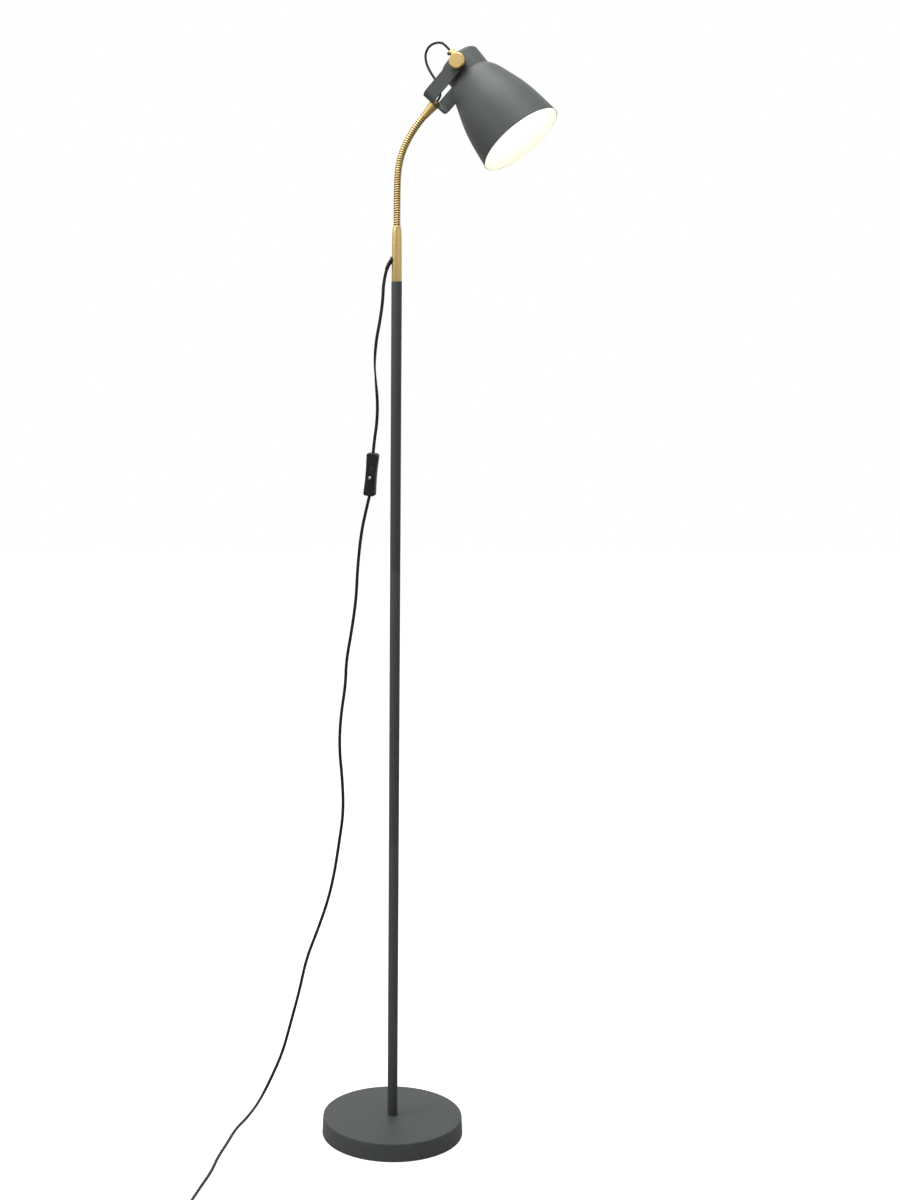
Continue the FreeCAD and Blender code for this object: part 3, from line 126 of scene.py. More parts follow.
# ---- surfaces
def rounded_profile(corners: Iterable[Sequence[float]], steps: int = 5) -> np.ndarray:
    """Closed profile whose corners are rounded by tangent arcs.

    A corner is (a, b) or (a, b, radius). The arc's centre lies on the corner's bisector, and each
    arc is sampled at equal angles.

    Args:
        corners: the corners in order round the profile.
        steps: spans in each arc.

    Returns:
        An array of profile points, (n, 2), that ends next to where it starts.
    """
    given = [tuple(c) + (0.0,) * (3 - len(tuple(c))) for c in corners]
    at = np.array([c[:2] for c in given])
    before, after = np.roll(at, 1, axis=0), np.roll(at, -1, axis=0)
    points = []
    for corner, back, ahead, (_, _, radius) in zip(at, before, after, given):
        if radius <= 0:
            points.append(corner[None])
            continue
        u, v = unit(back - corner), unit(ahead - corner)
        half = math.acos(float(np.clip(u @ v, -1, 1))) / 2
        centre = corner + unit(u + v) * radius / math.sin(half)
        start, end = (corner + w * radius / math.tan(half) - centre for w in (u, v))
        sweep = math.acos(float(np.clip(start @ end / radius ** 2, -1, 1)))
        t = np.linspace(0, 1, steps + 1)[:, None]
        points.append(centre + (start * np.sin((1 - t) * sweep) + end * np.sin(t * sweep)) / math.sin(sweep))
    return np.concatenate(points)


def turn_grid(profile: np.ndarray, columns: int) -> np.ndarray:
    """Surface of revolution: each profile point (radius, height) goes round Z in equal steps.

    Args:
        profile: (n, 2) array of radii and heights.
        columns: steps round the axis.

    Returns:
        Grid of points, (n, columns, 3).
    """
    angle = np.linspace(0, 2 * np.pi, columns, endpoint=False)
    radius, height = profile[:, :1], profile[:, 1:]
    return np.stack([radius * np.cos(angle), radius * np.sin(angle), height + 0 * angle], axis=-1)


def carry_grid(path: np.ndarray, facing: np.ndarray, section: np.ndarray) -> np.ndarray:
    """Surface of a section carried along a path.

    At each point the section's second axis points to `facing`, made square to the path's
    direction, and its first axis is square to both.

    Args:
        path: (n, 3) points.
        facing: (n, 3) or (3,) directions that the section's second axis looks to.
        section: (m, 2) section, or (n, m, 2) where it changes along the path.

    Returns:
        Grid of points, (n, m, 3).
    """
    ahead = np.gradient(path, axis=0)
    ahead /= np.linalg.norm(ahead, axis=1, keepdims=True)
    look = np.broadcast_to(facing, path.shape)
    side = np.cross(ahead, look)
    side /= np.linalg.norm(side, axis=1, keepdims=True)
    look = np.cross(side, ahead)
    section = np.broadcast_to(section, (len(path),) + section.shape[-2:])
    return path[:, None] + section[..., :1] * side[:, None] + section[..., 1:] * look[:, None]


def closed_ends(grid: np.ndarray) -> np.ndarray:
    """The grid with its first and last row drawn in to their middles, which closes both ends."""
    first, last = (np.broadcast_to(row.mean(axis=0), row.shape)[None] for row in (grid[0], grid[-1]))
    return np.concatenate([first, grid, last])


def circle(radius: float, columns: int) -> np.ndarray:
    """Round section."""
    angle = np.linspace(0, 2 * np.pi, columns, endpoint=False)
    return radius * np.stack([np.cos(angle), np.sin(angle)], axis=-1)


def smooth_line(points: Sequence[Sequence[float]], samples: int) -> np.ndarray:
    """Natural cubic spline through the points, with the distance between them as its parameter.

    The second derivatives solve the usual tridiagonal system and are zero at both ends.

    Args:
        points: (n, 2) or (n, 3) points.
        samples: points to return.

    Returns:
        Samples at equal steps of the parameter.
    """
    at = np.asarray(points, float)
    knots = np.concatenate([[0], np.cumsum(np.linalg.norm(np.diff(at, axis=0), axis=1))])
    gap = np.diff(knots)
    system = np.diag(np.r_[1, 2 * (gap[:-1] + gap[1:]), 1])
    system += np.diag(np.r_[0, gap[1:]], 1) + np.diag(np.r_[gap[:-1], 0], -1)
    slope = np.diff(at, axis=0) / gap[:, None]
    bend = np.linalg.solve(system, np.vstack([0 * at[:1], 6 * np.diff(slope, axis=0), 0 * at[:1]]))
    where = np.linspace(0, knots[-1], samples)
    i = np.clip(np.searchsorted(knots, where, side="right") - 1, 0, len(gap) - 1)
    h = gap[i, None]
    left, right = knots[i + 1, None] - where[:, None], where[:, None] - knots[i, None]
    return ((bend[i] * left ** 3 + bend[i + 1] * right ** 3) / (6 * h)
            + (at[i] / h - bend[i] * h / 6) * left + (at[i + 1] / h - bend[i + 1] * h / 6) * right)


# ---- meshes
SHARP_ANGLE = 34.0       # degrees between faces from which an edge is drawn sharp
MERGE_MM = 0.0005


def finish_mesh(mesh: bpy.types.Mesh) -> None:
    """Merge doubled points, point faces outwards and shade smooth but for sharp edges."""
    shape = bmesh.new()
    shape.from_mesh(mesh)
    bmesh.ops.remove_doubles(shape, verts=shape.verts, dist=MERGE_MM * MM)
    bmesh.ops.dissolve_degenerate(shape, edges=shape.edges, dist=MERGE_MM * MM / 5)
    bmesh.ops.recalc_face_normals(shape, faces=shape.faces)
    shape.to_mesh(mesh)
    shape.free()
    mesh.shade_smooth()
    mesh.set_sharp_from_angle(angle=math.radians(SHARP_ANGLE))


def linked(name: str, data: bpy.types.ID) -> bpy.types.Object:
    """New object in the scene that shows the data."""
    piece = bpy.data.objects.new(name, data)
    bpy.context.scene.collection.objects.link(piece)
    return piece


def surface(name: str, grid: np.ndarray, rows_close: bool = True,
            rise: np.ndarray | None = None) -> bpy.types.Object:
    """Piece made of a grid of points that is closed round its columns.

    Args:
        name: the piece's name.
        grid: points in the row frame, (rows, columns, 3), in millimetres.
        rows_close: whether the last row joins the first.
        rise: a value for each point, kept as the attribute "rise" for its material.

    Returns:
        The piece, with its place in its mesh.
    """
    rows, columns = grid.shape[:2]
    index = np.arange(rows * columns).reshape(rows, columns)
    index = np.hstack([index, index[:, :1]])
    if rows_close:
        index = np.vstack([index, index[:1]])
    corners = (index[:-1, :-1], index[:-1, 1:], index[1:, 1:], index[1:, :-1])
    faces = np.stack(corners, axis=-1).reshape(-1, 4)
    mesh = bpy.data.meshes.new(name)
    mesh.from_pydata((grid.reshape(-1, 3) * MM).tolist(), [], faces.tolist())
    if rise is not None:
        mesh.attributes.new("rise", "FLOAT", "POINT").data.foreach_set("value", rise.ravel())
    finish_mesh(mesh)
    return linked(name, mesh)


def turned(name: str, corners: Iterable[Sequence[float]], place: Place = UPRIGHT, columns: int = 64,
           steps: int = 5) -> bpy.types.Object:
    """Turned piece: a closed profile with rounded corners, revolved about the frame's Z.

    Args:
        name: the piece's name.
        corners: (radius, height) or (radius, height, rounding) in millimetres.
        place: the piece's own frame.
        columns: steps round the axis.
        steps: spans in each rounded corner.

    Returns:
        The piece.
    """
    return surface(name, place.put(turn_grid(rounded_profile(corners, steps), columns)))


# ---- materials
def linear(hex_colour: str) -> tuple[float, float, float, float]:
    """An sRGB hex colour as the linear colour that a socket takes."""
    srgb = np.array([int(hex_colour[i:i + 2], 16) for i in (1, 3, 5)]) / 255
    value = np.where(srgb <= 0.04045, srgb / 12.92, ((srgb + 0.055) / 1.055) ** 2.4)
    return (*value.tolist(), 1.0)


def add_node(tree: Tree, kind: str, settings: dict | None = None,
             inputs: dict | None = None) -> bpy.types.Node:
    """Add a node with its settings, its input values and its links.

    Args:
        tree: the node tree.
        kind: the node's type name.
        settings: properties of the node.
        inputs: socket name or number to a value, or to another node's output that feeds it.

    Returns:
        The node.
    """
    made = tree.nodes.new(kind)
    for key, value in (settings or {}).items():
        setattr(made, key, value)
    for key, value in (inputs or {}).items():
        if isinstance(value, Socket):
            tree.links.new(value, made.inputs[key])
        else:
            made.inputs[key].default_value = value
    return made


class Slot(Enum):
    """Material slots of the record that the visual pieces stand for."""

    PAINT = "grey_paint"
    BRASS = "satin_brass"
    CORD = "cord_black"
    PLASTIC = "black_plastic"
    HOLDER = "holder_plastic"
    WHITE = "lamp_white"
    GLASS = "lamp_glass"


def new_tree(name: str,
             **shader: object) -> tuple[Material, bpy.types.Node, Socket]:
    """New material with one Principled shader.

    Args:
        name: the material's name.
        shader: socket names of the shader, with _ for a space, and their values.

    Returns:
        The material, its shader, and the socket of the piece's own coordinates in metres.
    """
    material = bpy.data.materials.new(name)
    material.use_nodes = True
    tree = material.node_tree
    tree.nodes.clear()
    values = {key.replace("_", " "): value for key, value in shader.items()}
    body = add_node(tree, "ShaderNodeBsdfPrincipled", inputs=values)
    add_node(tree, "ShaderNodeOutputMaterial", inputs={"Surface": body.outputs["BSDF"]})
    where = add_node(tree, "ShaderNodeTexCoord")
    return material, body, where.outputs["Object"]


def noise(tree: Tree, where: Socket, size_mm: float,
          detail: float = 2.0) -> Socket:
    """Soft noise from 0 to 1 with spots of the given size, and as many finer octaves as detail says."""
    scale = 1 / (size_mm * MM)
    made = add_node(tree, "ShaderNodeTexNoise", inputs={"Vector": where, "Scale": scale, "Detail": detail})
    return made.outputs["Fac"]


def spread(tree: Tree, value: Socket, low: float, high: float) -> Socket:
    """The value, from 0 to 1, spread between low and high."""
    made = add_node(tree, "ShaderNodeMapRange", inputs={"Value": value, "To Min": low, "To Max": high})
    return made.outputs["Result"]


def tint(tree: Tree, body: bpy.types.Node, factor: Socket, light: str,
         dark: str) -> None:
    """Colour the shader from dark, where the factor is 0, to light, where it is 1 (both as hex)."""
    blend = add_node(tree, "ShaderNodeMix", {"data_type": "RGBA"},
                     {"Factor": factor, 6: linear(dark), 7: linear(light)})
    tree.links.new(blend.outputs[2], body.inputs["Base Color"])


def mottle(tree: Tree, body: bpy.types.Node, where: Socket, light: str,
           dark: str, spot_mm: float) -> None:
    """Let the colour drift between two close tones in soft spots of the given size.

    Args:
        tree: the material's tree.
        body: its shader.
        where: the coordinates.
        light: the lighter tone, as hex.
        dark: the darker tone, as hex.
        spot_mm: size of a spot.
    """
    tint(tree, body, noise(tree, where, spot_mm, 3.0), light, dark)


def grain_bump(tree: Tree, body: bpy.types.Node, height: Socket,
               depth_mm: float, strength: float) -> None:
    """Bump the shader with a height pattern of the given depth.

    Args:
        tree: the material's tree.
        body: its shader.
        height: socket with the pattern, from 0 to 1.
        depth_mm: depth of the pattern.
        strength: how much of it shows.
    """
    bump = add_node(tree, "ShaderNodeBump",
                    inputs={"Height": height, "Distance": depth_mm * MM, "Strength": strength})
    tree.links.new(bump.outputs["Normal"], body.inputs["Normal"])


@dataclass(frozen=True)
class PowderCoat:
    """Fine-texture polyester powder coat on steel: matt, with a tight orange-peel grain."""

    name: str = "powder_coat_dark_grey"
    light: str = "#4E5251"
    dark: str = "#484C4B"
    grain_mm: float = 1.1        # the real grain is about 0.4 mm, drawn coarser so that it shows

    def material(self) -> Material:
        """The material, as a new one each time."""
        material, body, where = new_tree(self.name, Roughness=0.52, IOR=1.5, Specular_IOR_Level=0.3)
        tree = material.node_tree
        mottle(tree, body, where, self.light, self.dark, 2.5)
        grain = noise(tree, where, self.grain_mm)
        tree.links.new(spread(tree, grain, 0.46, 0.6), body.inputs["Roughness"])
        grain_bump(tree, body, grain, 0.12, 0.5)
        return material


@dataclass(frozen=True)
class TurnedBrass:
    """Lacquered yellow brass, turned and satined: fine rings round its axis, softly glossy."""

    name: str
    place: Place
    light: str = "#CBB079"
    dark: str = "#B0955D"
    roughness: float = 0.34
    ring_mm: float = 0.9         # real tool marks are 0.1 mm apart, drawn coarser so that they show

    def material(self) -> Material:
        """Build the material; its rings run round the frame's Z."""
        material, body, where = new_tree(self.name, Metallic=1.0, Roughness=self.roughness)
        tree = material.node_tree
        matrix = Matrix(np.stack([self.place.x, self.place.y, self.place.z]).tolist())
        centred = add_node(tree, "ShaderNodeVectorMath", {"operation": "SUBTRACT"},
                           {0: where, 1: (self.place.origin * MM).tolist()})
        own = add_node(tree, "ShaderNodeMapping", {"vector_type": "POINT"},
                       {"Vector": centred.outputs[0], "Rotation": tuple(matrix.to_euler())})
        axes = add_node(tree, "ShaderNodeSeparateXYZ", inputs={0: own.outputs["Vector"]})
        flat = add_node(tree, "ShaderNodeCombineXYZ", inputs={"X": axes.outputs["X"], "Y": axes.outputs["Y"]})
        radius = add_node(tree, "ShaderNodeVectorMath", {"operation": "LENGTH"}, {0: flat.outputs["Vector"]})
        rings = add_node(tree, "ShaderNodeCombineXYZ",
                         inputs={"X": radius.outputs["Value"], "Z": axes.outputs["Z"]})
        lines = noise(tree, rings.outputs["Vector"], self.ring_mm, 3.0)
        tint(tree, body, lines, self.light, self.dark)
        sheen = spread(tree, lines, self.roughness - 0.05, self.roughness + 0.07)
        tree.links.new(sheen, body.inputs["Roughness"])
        grain_bump(tree, body, lines, 0.01, 0.3)
        return material


@dataclass(frozen=True)
class WoundBrass:
    """Brass-plated steel strip wound into a flexible arm: bright crests, with painted shade that darkens the
    grooves.
    """

    name: str = "brass_winding_plated"
    crest: str = "#CDB27A"
    # dark brown of the grooves: painted shade, where the winding shades itself
    groove: str = "#2E2412"

    def material(self) -> Material:
        """Build the material; its colour follows the piece's own attribute from groove to crest, and painted
        shade darkens it towards the grooves.
        """
        material, body, where = new_tree(self.name, Metallic=1.0, Roughness=0.3)
        tree = material.node_tree
        rise = add_node(tree, "ShaderNodeAttribute", {"attribute_name": "rise"})
        fine = noise(tree, where, 0.8)
        # painted shade: the colour falls to the dark groove brown as the rise attribute drops towards the
        # grooves
        step = add_node(tree, "ShaderNodeMapRange", {"interpolation_type": "SMOOTHSTEP"},
                        {"Value": rise.outputs["Fac"], "From Min": 0.35, "From Max": 0.92})
        tint(tree, body, step.outputs["Result"], self.crest, self.groove)
        tree.links.new(spread(tree, fine, 0.26, 0.4), body.inputs["Roughness"])
        return material


@dataclass(frozen=True)
class Moulded:
    """Moulded or extruded plastic: one colour right through, with a faint spark-eroded grain."""

    name: str
    light: str
    dark: str
    roughness: float
    grain_mm: float = 0.5
    depth_mm: float = 0.02

    def material(self) -> Material:
        """The material, as a new one each time."""
        material, body, where = new_tree(self.name, Roughness=self.roughness, IOR=1.49,
                                         Specular_IOR_Level=0.3)
        tree = material.node_tree
        mottle(tree, body, where, self.light, self.dark, 6.0)
        grain = noise(tree, where, self.grain_mm)
        sheen = spread(tree, grain, self.roughness - 0.06, self.roughness + 0.06)
        tree.links.new(sheen, body.inputs["Roughness"])
        grain_bump(tree, body, grain, self.depth_mm, 0.4)
        return material


@dataclass(frozen=True)
class Metal:
    """Plain engineering metal: zinc plate, cast iron or nickel, told apart by tone and grain."""

    name: str
    light: str
    dark: str
    roughness: float
    metallic: float = 1.0
    grain_mm: float = 1.5
    depth_mm: float = 0.03

    def material(self) -> Material:
        """The material, as a new one each time."""
        material, body, where = new_tree(self.name, Metallic=self.metallic, Roughness=self.roughness)
        tree = material.node_tree
        mottle(tree, body, where, self.light, self.dark, 2 * self.grain_mm)
        grain_bump(tree, body, noise(tree, where, self.grain_mm, 4.0), self.depth_mm, 0.6)
        return material


@dataclass(frozen=True)
class PressedFelt:
    """Pressed wool felt: no gloss, matted fibres a few tenths of a millimetre thick."""

    name: str = "pressed_felt_black"
    fibre_mm: float = 0.7

    def material(self) -> Material:
        """The material, as a new one each time."""
        material, body, where = new_tree(self.name, Roughness=0.95, Sheen_Weight=0.4)
        tree = material.node_tree
        mottle(tree, body, where, "#2B2B2A", "#171717", 1.6)
        fibre = add_node(tree, "ShaderNodeTexVoronoi", {"feature": "DISTANCE_TO_EDGE"},
                         {"Vector": where, "Scale": 1 / (self.fibre_mm * MM)})
        grain_bump(tree, body, fibre.outputs["Distance"], 0.2, 0.8)
        return material


@dataclass(frozen=True)
class Glowing:
    """A surface that gives off light of its own on top of a plain pale body."""

    name: str
    colour: str
    glow: str
    strength: float
    roughness: float

    def material(self) -> Material:
        """The material, as a new one each time."""
        material, body, where = new_tree(self.name, Roughness=self.roughness,
                                         Emission_Color=linear(self.glow), Emission_Strength=self.strength)
        tree = material.node_tree
        mottle(tree, body, where, self.colour, self.glow, 9.0)
        grain_bump(tree, body, noise(tree, where, 1.4), 0.03, 0.3)
        return material


# matt dark grey, slightly green and grainy
POWDER = PowderCoat()
# warm satin yellow, plain
BRASS = Metal("satin_brass_lacquered", "#C9AE74", "#BCA067", 0.32, grain_mm=0.3, depth_mm=0.004)
# cool bright grey
STEEL = Metal("zinc_plated_steel", "#B4B6B8", "#95979A", 0.34)
# dark and rough from the sand mould
IRON = Metal("cast_iron_raw", "#4B4A49", "#3A3938", 0.7, 0.6, 2.0, 0.1)
# brown, dulled brass
OLD_BRASS = Metal("brass_screw_darkened", "#6E6340", "#574E33", 0.4)
# pale and clean
ALUMINIUM = Metal("lamp_cap_aluminium", "#D4D5D6", "#BFC0C2", 0.3)
# black, soft, without gloss
FELT = PressedFelt()
# near black, a broad soft gloss
ABS = Moulded("abs_black_moulded", "#1A1A1A", "#141414", 0.4)
# black, a little duller than ABS
SHEATH = Moulded("pvc_sheath_black", "#161717", "#111212", 0.45, 0.6, 0.005)
# flat white print
INK = Moulded("white_pad_ink", "#F2F2F0", "#E6E6E4", 0.5)
# warm white, hard gloss
MELAMINE = Moulded("holder_melamine_white", "#ECEBE6", "#E2E1DA", 0.35)
# white lining that spreads the lamp's light
ENAMEL = Moulded("white_stove_enamel", "#F6F5EE", "#EFEEE6", 0.35, 0.9)
# white, satin
COLLAR = Moulded("lamp_collar_white", "#F0F0EC", "#E6E6E0", 0.4)
# warm white, brighter than anything round it
OPAL = Glowing("opal_glass_lit", "#FFFBF0", "#FFF6E2", 9.0, 0.2)

KEPT_NODES = (
    (STEEL, ("foot_washer", "foot_nut", "foot_stud", "pole_plugs", "pole_studs", "sleeve_nipple", "neck_plug",
             "yoke_nipple", "holder_nipple", "holder_locknut", "switch_screws", "switch_terminals",
             "pivot_screw_front", "pivot_screw_back", "shade_weld_nuts", "holder_thread_shell",
             "holder_centre_contact")),
    (IRON, ("foot_weight",)), (FELT, ("foot_pad",)), (OLD_BRASS, ("grip_screw",)), (ALUMINIUM, ("lamp_cap",)),
    (ABS, ("yoke_bush",)), (INK, ("rocker_dot",)))


# ---- the model's shared places
NECK_Z, SEGMENT_L, SEGMENTS = 1348.6, 22.61, 7
NECK_OUT = np.array([math.cos(math.radians(-6)), math.sin(math.radians(-6)), 0])
NECK_SIDE = np.cross(Z_AXIS, NECK_OUT)
NECK_TURNS = (0, 0.5, 2.5, 10.5, 12, 8.5, 7.2)


def neck_line(where: np.ndarray) -> tuple[np.ndarray, np.ndarray]:
    """Points and directions of the gooseneck's middle line: seven arcs, each bent by its own angle.

    Args:
        where: distances along it, in millimetres.

    Returns:
        The points and the unit directions.
    """
    point, heading = np.array([0, 0, NECK_Z]), 0.0
    points, ways = np.zeros((len(where), 3)), np.zeros((len(where), 3))
    index = np.clip((where / SEGMENT_L).astype(int), 0, SEGMENTS - 1)
    for number, degrees in enumerate(NECK_TURNS):
        turn = math.radians(degrees)
        radius = SEGMENT_L / max(turn, 1e-9)

        def at(s: np.ndarray) -> tuple[np.ndarray, np.ndarray]:
            """Point and direction on this arc."""
            after = heading + turn * s / SEGMENT_L
            if turn == 0:
                out, up = s * math.sin(heading), s * math.cos(heading)
            else:
                out = radius * (math.cos(heading) - np.cos(after))
                up = radius * (np.sin(after) - math.sin(heading))
            way = np.sin(after)[:, None] * NECK_OUT + np.cos(after)[:, None] * Z_AXIS
            return point + out[:, None] * NECK_OUT + up[:, None] * Z_AXIS, way

        mine = index == number
        points[mine], ways[mine] = at(where[mine] - number * SEGMENT_L)
        point, heading = at(np.array([SEGMENT_L]))[0][0], heading + turn
    return points, ways


NECK_END = neck_line(np.array([SEGMENTS * SEGMENT_L]))
NECK_DIR = NECK_END[1][0]
YOKE_FOOT = NECK_END[0][0] + NECK_DIR * 21
PIVOT_DIR = unit((0.30794, 0.93371, -0.18266))
SHADE_BACK = unit((-0.57899, 0.33626, 0.74277))
YOKE_ACROSS = unit((0.68996, -0.35136, -0.63286))
PIVOT = np.array([92.36713, -9.70818, 1561.88162])
NECK_TOP = Place.along(NECK_END[0][0], NECK_DIR, NECK_SIDE)
SHADE_PLACE = Place.along(PIVOT, SHADE_BACK, np.cross(PIVOT_DIR, SHADE_BACK))
SWITCH_MIDDLE = np.array([-34.8, 8.0, 998.4])
SWITCH_UP = unit((5.1, -2.0, 61.8))
SWITCH_TOP, SWITCH_BOTTOM = SWITCH_MIDDLE + SWITCH_UP * 31, SWITCH_MIDDLE - SWITCH_UP * 31


def dress(piece: bpy.types.Object, body: str, slot: Slot, finish: Material,
          *nodes: str) -> bpy.types.Object:
    """Give a piece its material and its body, and hide the nodes that it stands for.

    Args:
        piece: the piece.
        body: CAD body that it rides on.
        slot: the record's material slot; not used.
        finish: its material.
        nodes: CAD nodes that it replaces.

    Returns:
        The piece.
    """
    piece.data.materials.clear()
    piece.data.materials.append(finish)
    if body:
        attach(piece, body)
    if nodes:
        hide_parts(*nodes)
    LOG.info("%s rides on %s, %s", piece.name, body or "two bodies", finish.name)
    return piece


def merged_copy(name: str, node: bpy.types.Object, edge_mm: float = 0.25) -> bpy.types.Object:
    """Copy of a CAD node with its triangles joined, its flat faces whole and its edges broken.

    Args:
        name: the piece's name.
        node: the CAD node's object.
        edge_mm: width of the broken edge, or 0 for none.

    Returns:
        The new piece.
    """
    mesh = node.data.copy()
    mesh.materials.clear()
    shape = bmesh.new()
    shape.from_mesh(mesh)
    bmesh.ops.remove_doubles(shape, verts=shape.verts, dist=0.002 * MM)
    if edge_mm:
        bmesh.ops.dissolve_limit(shape, angle_limit=math.radians(0.4), verts=shape.verts, edges=shape.edges)
    shape.to_mesh(mesh)
    shape.free()
    mesh.shade_smooth()
    mesh.set_sharp_from_angle(angle=math.radians(SHARP_ANGLE))
    piece = linked(name, mesh)
    if edge_mm:
        broken = piece.modifiers.new("broken_edge", "BEVEL")
        broken.width, broken.segments, broken.limit_method = edge_mm * MM, 2, "ANGLE"
        broken.angle_limit, broken.harden_normals = math.radians(SHARP_ANGLE), True
    return piece


# ---- foot and pole
@dataclass
class FootAndPole:
    """Spun foot cover with a rolled edge, and a pole of three screwed tubes."""

    top_r: float = 104.5
    rim_r: float = 105.9
    height: float = 28.5
    skin: float = 1.5
    edge: float = 1.8
    lift: float = 0.8
    pole_r: float = 7.5
    wall: float = 1.2
    seams: tuple[float, ...] = (28.5, 450.2, 861.1, 1271.8)

    def build(self, finish: Material) -> None:
        """Make the cover and the tubes.

        Args:
            finish: their paint.
        """
        skin, edge, top = self.skin, self.edge, self.height
        cover = [(5.2, top - skin), (5.2, top), (self.top_r, top, edge), (self.rim_r, self.lift, 0.4),
                 (self.rim_r - skin, self.lift, 0.3), (self.top_r - skin, top - skin, 0.6)]
        dress(turned("foot_cover_spun", cover, columns=192, steps=8), "root", Slot.PAINT, finish, "foot_cover")
        names = ("pole_lower", "pole_middle", "pole_upper")
        for name, low, high in zip(names, self.seams, self.seams[1:]):
            tube = [(self.pole_r - self.wall, low), (self.pole_r, low, 0.35), (self.pole_r, high, 0.35),
                    (self.pole_r - self.wall, high)]
            dress(turned(name + "_tube", tube, columns=72), "root", Slot.PAINT, finish, name)


# ---- sleeve and gooseneck
@dataclass
class Gooseneck:
    """Brass sleeve, wound flexible arm and the ferrule that carries the yoke."""

    pole_top: float = 1271.8
    pitch: float = 3.23
    crest: float = 5.1
    groove: float = 3.9
    bore: float = 2.2
    columns: int = 64
    rows_per_rib: int = 8
    flex_r: float = 1.7

    def sleeve(self) -> None:
        """Turned sleeve: a long faint taper, a step and a bulging tip."""
        z = self.pole_top
        shape = [(5.7, z), (7.25, z, 0.4), (6.95, z + 52, 6), (6.55, z + 65, 3), (6.25, z + 71, 4),
                 (5.25, z + 76.8, 0.5), (2.6, z + 76.8), (2.6, z + 60.8), (5.7, z + 60.8)]
        dress(turned("sleeve_turned", shape, columns=96, steps=6), "root", Slot.BRASS,
              TurnedBrass("brass_sleeve_turned", UPRIGHT).material(), "sleeve")

    def wound(self, start: float, end: float) -> tuple[np.ndarray, np.ndarray]:
        """Stretch of the winding: the radius follows a wave of distance less turns round the arm.

        Args:
            start: where it starts along the arm.
            end: where it ends.

        Returns:
            Grid of its outside and its bore, and how far each point rises from groove to crest (the mask of
            the painted groove shade).
        """
        where = np.linspace(start, end, int(round((end - start) / self.pitch * self.rows_per_rib)) + 1)
        angle = np.linspace(0, 2 * np.pi, self.columns, endpoint=False)
        wave = np.abs(np.sin(np.pi * (where[:, None] / self.pitch - angle / (2 * np.pi)))) ** 0.5
        radius = self.groove + (self.crest - self.groove) * wave
        inner = self.rings(where[::-1], np.full_like(radius, self.bore))
        grid = np.concatenate([self.rings(where, radius), inner])
        return grid, np.concatenate([wave, 0 * wave])

    def rings(self, where: np.ndarray, radius: np.ndarray) -> np.ndarray:
        """Rings square to the arm's line, with a radius for each point.

        Args:
            where: distances along the arm.
            radius: a radius for each distance and angle.

        Returns:
            Grid of points.
        """
        middle, way = neck_line(where)
        angle = np.linspace(0, 2 * np.pi, radius.shape[1], endpoint=False)
        side = np.cross(way, NECK_SIDE)
        spoke = np.cos(angle)[:, None] * NECK_SIDE + np.sin(angle)[:, None] * side[:, None]
        return middle[:, None] + radius[..., None] * spoke

    def build(self, sheath: Material) -> None:
        """Make the sleeve, the arm in lengths that each span a hinge, its cable and the ferrule.

        Args:
            sheath: the cable's material.
        """
        self.sleeve()
        winding = WoundBrass().material()
        bodies = ["root"] + ["neck_%d" % n for n in range(2, SEGMENTS)] + ["head"]
        edges = [0] + [SEGMENT_L * (n + 0.5) for n in range(SEGMENTS)] + [SEGMENT_L * SEGMENTS]
        for number, (start, end) in enumerate(zip(edges, edges[1:])):
            where = np.linspace(start, end, 13)
            cable = closed_ends(self.rings(where, np.full((13, 24), self.flex_r)))
            grid, rise = self.wound(start, end)
            pieces = [(surface("neck_winding_%d" % number, grid, rise=rise), Slot.BRASS, winding,
                       ["neck_segment_%d" % n for n in {max(number, 1), min(number + 1, SEGMENTS)}]),
                      (surface("neck_cable_%d" % number, cable, rows_close=False), Slot.CORD, sheath,
                       ["neck_cable"])]
            for piece, slot, finish, nodes in pieces:
                if number in (0, SEGMENTS):
                    dress(piece, bodies[0] if number == 0 else bodies[-1], slot, finish, *nodes)
                    continue
                dress(piece, "", slot, finish)
                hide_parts(*nodes)
                (at,), (way,) = neck_line(np.array([number * SEGMENT_L]))
                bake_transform(piece)
        bell = [(2.2, 0), (5.1, 0, 0.2), (5.25, 4, 4), (5.85, 10.5, 12), (7.2, 21, 0.3), (4.9, 21),
                (4.9, 9), (2.2, 9)]
        dress(turned("ferrule_turned", bell, NECK_TOP, 72, 6), "head", Slot.BRASS,
              TurnedBrass("brass_ferrule_turned", NECK_TOP).material(), "neck_ferrule")


